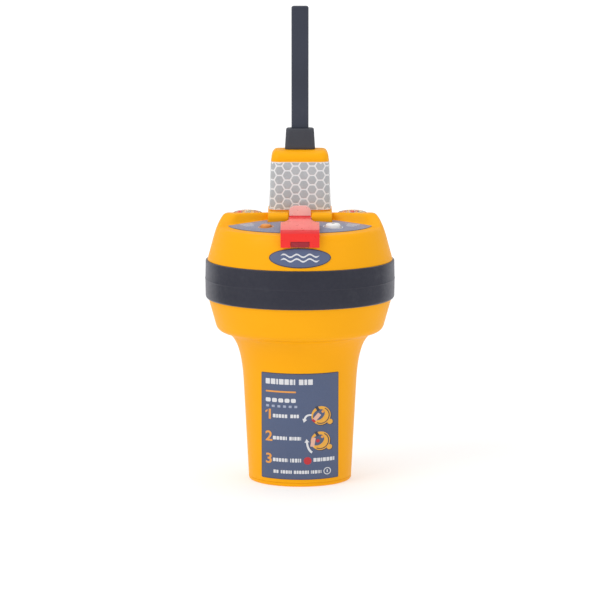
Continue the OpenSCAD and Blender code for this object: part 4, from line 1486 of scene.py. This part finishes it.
def pictograms():
    """Flap shut with its tab, above; flap turned aside over the button, below."""
    cx, cz = 11.5, 40.7
    tab = turned(bar(-0.6, 0.6, 0, 2.1, 0.2), cx - 4.0, cz - 2.75, 48)
    pictogram("pictogram_1", cx, cz, (-2.4, -0.9, 48), ("tab", tab, 0.15),
              arrow((6.3, 41.2), (3.2, 41.6), (2.6, 38.9), width0=0.9, width1=1.2, head=1.35))
    cx, cz = 11.2, 26.3
    pictogram("pictogram_2", cx, cz, (-4.1, -0.6, 80),
              ("button", oval(cx - 1.4, cz + 0.1, 1.0), 0.12),
              arrow((6.6, 19.8), (4.2, 21.6), (3.8, 25.6), width0=1.3, width1=1.0, head=1.35))


# ------------------------------------------------------------------ badge and keypad
def badge():
    """Oval badge on the front wall: dark rim, blue face, two waves."""
    lo, hi = box_mm("front_badge")
    half_w, half_h, z_mid = hi.x, (hi.z - lo.z) / 2, (lo.z + hi.z) / 2
    rim = 0.45
    decal("badge_edge", [poly_bm(oval(0, z_mid, half_w, half_h, 96))], wall_surface, 0.26,
          LABEL_EDGE, slot="badge_blue", thick=0.22)
    decal("badge_face", [poly_bm(oval(0, z_mid, half_w - rim, half_h - rim, 96))],
          wall_surface, 0.36, BADGE, "front_badge", slot="badge_blue", thick=0.15)
    waves = [wave(-10.5, 10.5, z_mid + dz, swing=0.75, period=7.0, height=0.85)
             for dz in (1.3, -1.1)]
    decal("badge_waves", waves, wall_surface, 0.40, PRINT_WHITE, slot="badge_blue")


def keypad():
    """The CAD sheet keeps its shape; print lies on it."""
    recolour("keypad_label", KEYPAD)
    # y, nearer and farther ends in x of each printed bar
    bars = ((-3.6, 26.5, 33.5), (-6.4, 25.2, 33.0), (-9.2, 26.0, 31.5), (-12.0, 25.4, 30.0))
    white = [poly_bm(bar(-far, -near, y, 0.9, 0.27)) for y, near, far in bars]
    white += [poly_bm(bar(near, far, y, 0.9, 0.27)) for y, near, far in bars]
    white.append(ring_bm(*plan_centre("test_button"), 5.0, 5.5, steps=48))
    decal("keypad_print_white", white, deck_surface, DECK_PRINT_OUT, PRINT_WHITE, axis=1)
    orange = ring_bm(*plan_centre("status_light"), 3.8, 4.3, steps=48)
    decal("keypad_print_orange", [orange], deck_surface, DECK_PRINT_OUT, PRINT_ORANGE, axis=1)


# ------------------------------------------------------------------ controls
def button(node, mat, slot, radius, crown, dimple):
    """Flanged button with a rounded crown and a shallow dimple."""
    lo, hi = box_mm(node)
    top, flange_r = hi.z, radius + 0.9
    profile = [(0, lo.z), (2, lo.z), (2, lo.z + 0.7), (flange_r, lo.z + 0.7),
               (flange_r, lo.z + 1.8), (radius, lo.z + 1.85)]
    profile += bezier((radius, top - crown), (radius - 0.15, top), (radius - 2.2, top), 8)
    profile += [(radius - 2.8, top), (radius - 3.1, top - dimple * 0.6),
                (max(0.4, radius - 3.9), top - dimple), (0, top - dimple * 0.9)]
    cap = lathe(node + "_cap", profile, mat, squeeze=1.0, steps=64,
                at=((lo.x + hi.x) / 2, (lo.y + hi.y) / 2, 0))
    finish(cap, 40, slot, node, body=node)


def controls():
    button("power_button", RED_RUBBER, "button_red", POWER_R, crown=0.8, dimple=0.25)
    button("test_button", WHITE_RUBBER, "button_white", TEST_R, crown=1.4, dimple=0.2)
    # dark dot sunk in the test button
    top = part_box("test_button")[1].z * 1000
    profile = [(0, 0), (0.95, 0), (0.95, 0.10), (0.85, 0.14), (0, 0.14)]
    mark = lathe("test_button_mark", profile, LABEL_EDGE, squeeze=1.0, steps=32,
                 at=(*plan_centre("test_button"), top - 0.19))
    finish(mark, 40, "button_white", body="test_button")
    profile = [(0, 138.6), (WINDOW_R, 138.6)]
    profile += bezier((WINDOW_R, 145.3), (2.9, 146.45), (1.3, 146.45), 8) + [(0, 146.48)]
    window = lathe("status_window", profile, ORANGE, squeeze=1.0, steps=64,
                   at=(*plan_centre("status_light"), 0))
    finish(window, 40, "light_orange", "status_light")


# ------------------------------------------------------------------ strobes
def strobe_lens(side):
    """Thin clear cover with a low dome, and a pale reflector cup beneath it."""
    node = "lens_" + side
    lo, hi = box_mm(node)
    width, depth = hi.x - lo.x, hi.y - lo.y
    radius, z0, z1 = width / 2, lo.z, hi.z
    rim = z0 + 2.35
    placing = {"squeeze": depth / width, "steps": 96,
               "at": ((lo.x + hi.x) / 2, (lo.y + hi.y) / 2, 0)}
    profile = [(radius - 1.3, z0), (radius - 0.12, z0), (radius, z0 + 0.12),
               (radius, rim - 0.35)]
    profile += bezier((radius, rim - 0.3), (radius, rim + 0.05), (radius - 0.5, rim + 0.22), 6)
    profile += bezier((radius - 0.5, rim + 0.22), (radius - 3.0, z1), (0, z1), 16)[1:]
    profile += bezier((0, z1 - 1.0), (radius - 3.4, z1 - 1.0), (radius - 1.3, rim - 0.7), 12)
    cover = lathe("strobe_" + node, profile, LENS, closed=False, **placing)
    finish(cover, 40, "lens_clear", node)
    wall_r, wall_z = radius - 2.3, z0 + 0.6
    profile = [(0, z0 + 0.25), (radius - 3.2, z0 + 0.25)]
    profile += [(wall_r + 0.7 * i / 4, wall_z + 1.25 * i / 4) for i in range(5)]
    profile += [(radius - 1.5, rim - 0.6), (radius - 1.5, z0 + 0.05), (0, z0 + 0.05)]
    finish(lathe(f"strobe_{node}_reflector", profile, REFLECTOR, **placing), 40, "lens_clear")


def diodes():
    """Three square diodes with domed tops under each lens."""
    lo, hi = box_mm("strobe_leds")
    y = (lo.y + hi.y) / 2
    half, pitch = 1.5, 4.4
    dome_profile = [(0, 0)] + [(1.3 * math.cos(math.radians(a)), 0.95 * math.sin(math.radians(a)))
                               for a in range(0, 91, 15)]
    for side, middle, mats, replaces in (
            ("left", -29.3, (LED_RED, LED_WHITE, LED_ORANGE), ("strobe_leds",)),
            ("right", 29.3, (LED_ORANGE, LED_RED, LED_WHITE), ())):
        pieces = []
        for x, mat in zip((middle - pitch, middle, middle + pitch), mats):
            pieces.append(box_piece("diode", (x - half, y - half, lo.z),
                                    (x + half, y + half, hi.z - 0.3), 0.12, WHITE_RUBBER))
            pieces.append(lathe("dome", dome_profile, mat, squeeze=1.0, steps=32,
                                at=(x, y, hi.z - 0.32)))
        finish(join("strobe_diodes_" + side, pieces), 40, "led_parts", *replaces)


# ------------------------------------------------------------------ lanyard
CORD_R = 1.12


def cord(name, points, resolution, *replaces):
    curve = bpy.data.curves.new(name, "CURVE")
    curve.dimensions = "3D"
    curve.bevel_depth = CORD_R * MM
    curve.bevel_resolution = 4
    curve.use_fill_caps = True
    spline = curve.splines.new("NURBS")
    spline.points.add(len(points) - 1)
    for knot, point in zip(spline.points, points):
        knot.co = (*[c * MM for c in point], 1)
    spline.order_u = 4
    spline.use_endpoint_u = True
    spline.resolution_u = resolution
    mesh = curve_to_mesh(curve)
    mesh.name = name
    mesh.materials.clear()
    mesh.materials.append(CORD)
    finish(link(bpy.data.objects.new(name, mesh)), 60, "cord_orange", *replaces)


def lanyard():
    """Cord laid up and down in two layers, and a tail wound round the bar."""
    lo, hi = box_mm("lanyard_cord")
    y_outer, y_inner = hi.y - CORD_R - 0.05, lo.y + CORD_R + 0.05
    z0, z1 = lo.z + 3.4, hi.z - 3.4
    turn_h = 1.9
    xs = np.linspace(lo.x + CORD_R + 0.3, hi.x - CORD_R - 0.3, 8)
    points = []
    for layer, (y, order) in enumerate(((y_inner, xs), (y_outer, xs[::-1]))):
        for i, x in enumerate(order):
            up = (i + layer) % 2 == 0
            for z in np.linspace(z0, z1, 9) if up else np.linspace(z1, z0, 9):
                points.append((x + 0.12 * math.sin(z * 0.5 + i),
                               y + 0.10 * math.sin(z * 0.31 + 2 * i), z))
            if i == len(order) - 1:
                continue
            x_next = order[i + 1]
            turn_z, way = (z1, 1) if up else (z0, -1)
            for degrees in (30, 60, 90, 120, 150):
                a = math.radians(degrees)
                points.append(((x + x_next) / 2 - (x_next - x) / 2 * math.cos(a), y,
                               turn_z + way * turn_h * math.sin(a)))
    cord("lanyard_hank", points, 3, "lanyard_cord")
    tail = [(2.0, y_outer, z1 - 2), (2.3, y_outer + 0.4, z1 + 1), (2.2, 22.9, 54.5),
            (2.1, 23.35, 56.3), (2.1, 22.2, 58.6), (2.0, 20.4, 59.0), (1.9, 18.5, 58.0),
            (1.8, 18.15, 55.5), (1.4, 19.0, 53.0), (0.2, 20.6, 51.6), (-1.2, 21.0, 52.4),
            (-1.4, 20.0, 53.6), (0.2, 18.8, 52.0), (1.0, 18.6, z1 + 1.0)]
    cord("lanyard_tail", tail, 6)


# ------------------------------------------------------------------ hardware
def hardware():
    """Nodes that keep their CAD shape."""
    ceramic = label("ceramic", (0.52, 0.45, 0.32), (0.46, 0.40, 0.28), gloss=0.4)
    cell_wrap = plastic("cell_wrap", (0.03, 0.10, 0.22), (0.02, 0.08, 0.18),
                        rough=(0.22, 0.34), grain=0.04, edge_wear_and_highlight=0.1)
    foam = rubber("foam_grey", (0.06, 0.06, 0.065), (0.05, 0.05, 0.055), rough=(0.85, 0.95))
    for mat, nodes in (
            (SEAL, ("case_seal", "base_seal", "mast_seal")),
            (BLACK, ("antenna_cable", "buzzer", "battery_tray", "battery_leads")),
            (STEEL, ("flap_pin", "board_screws", "case_screws", "base_screws",
                     "water_contacts")),
            (BOARD, ("strobe_boards", "main_board")),
            (TAB_RED_SHADED, ("tab_anchor",)), (SPRING, ("switch_domes",)), (TIN, ("rf_shield",)),
            (ceramic, ("gnss_antenna",)), (cell_wrap, ("battery_cells",)),
            (foam, ("battery_pad",))):
        for node in nodes:
            recolour(node, mat)


# ------------------------------------------------------------------ stage, light and camera
def floor():
    ob = raw_object("floor", [(-12000, -8000, 0), (12000, -8000, 0), (12000, 16000, 0),
                              (-12000, 16000, 0)], [(0, 1, 2, 3)])
    mat = Material("floor_pale")
    mat.set(Base_Color=mat.mix(mat.noise(scale=3, detail=2), (0.63, 0.63, 0.63),
                               (0.65, 0.65, 0.65)))
    # the glow grows with the distance from the origin, in metres
    away = mat.nodes.new("ShaderNodeVectorMath")
    away.operation = "LENGTH"
    mat.feed(away.inputs[0], mat.coords)
    glow = mat.remap(away.outputs["Value"], span=(0.3, 1.8), to=(0.42, 0.66))
    mat.set(Emission_Strength=glow, Emission_Color=(1, 1, 1), Roughness=0.7,
            Specular_IOR_Level=0.1)
    ob.data.materials.append(mat.material)


def world():
    """White surroundings, brighter to the camera than to the scene."""
    studio = bpy.data.worlds.new("studio")
    bpy.context.scene.world = studio
    studio.use_nodes = True
    tree = studio.node_tree
    background = tree.nodes["Background"]
    background.inputs[0].default_value = (1, 1, 1, 1)
    path = tree.nodes.new("ShaderNodeLightPath")
    strength = tree.nodes.new("ShaderNodeMapRange")
    strength.inputs[3].default_value = 0.70  # to the scene
    strength.inputs[4].default_value = 0.99  # to the camera
    tree.links.new(path.outputs["Is Camera Ray"], strength.inputs[0])
    tree.links.new(strength.outputs[0], background.inputs[1])


def area_light(name, place, target, size, power, color):
    """Square light at a place in metres, turned to its target."""
    light = bpy.data.lights.new(name, "AREA")
    light.energy = power
    light.color = color
    light.shape = "RECTANGLE"
    light.size = size
    light.size_y = size
    ob = link(bpy.data.objects.new(name, light))
    ob.location = place
    aim = Vector(target) - Vector(place)
    ob.rotation_euler = aim.to_track_quat("-Z", "Y").to_euler()


def camera():
    """Long lens in front of the beacon, looking slightly down."""
    data = bpy.data.cameras.new("camera")
    data.sensor_width = 36
    data.lens = 192
    data.clip_start = 0.05
    data.clip_end = 60
    ob = link(bpy.data.objects.new("camera", data))
    ob.location = (0, -1.765, 0.38805)
    ob.rotation_euler = (math.radians(90 - 9.23), 0, 0)
    bpy.context.scene.camera = ob


def stage():
    floor()
    world()
    area_light("key", (-0.95, -0.75, 1.15), (0, 0, 0.12), size=0.9, power=8.2,
               color=(1.0, 0.985, 0.96))
    area_light("fill", (1.2, -1.1, 0.7), (0, 0, 0.12), size=1.1, power=2.7,
               color=(0.97, 0.985, 1.0))
    area_light("top", (0.0, 0.25, 1.5), (0, 0, 0.1), size=1.0, power=4.6, color=(1, 1, 1))
    camera()
    view = bpy.context.scene.view_settings
    view.view_transform = "Standard"
    view.look = "None"
    view.exposure = 0.0
    view.gamma = 1.0


# ------------------------------------------------------------------ build
upper_case()
knuckles()
lower_shell()
pocket_liner()
lanyard_eye_and_bar()
base_cap()
bumper_band()
mast()
tape_sheet()
tape_cells()
boot()
whip()
flap()
refine("break_tab", "break_tab_body", TAB_RED_SHADED, "tab_maroon", "break_tab", width=0.12, segments=2,
       degrees=30)
instruction_label()
pictograms()
badge()
keypad()
controls()
strobe_lens("left")
strobe_lens("right")
diodes()
lanyard()
refine("lanyard_band", "lanyard_band_body", SEAL, "seal_rubber", "case", width=0.25, segments=3,
       degrees=28)
hardware()
stage()
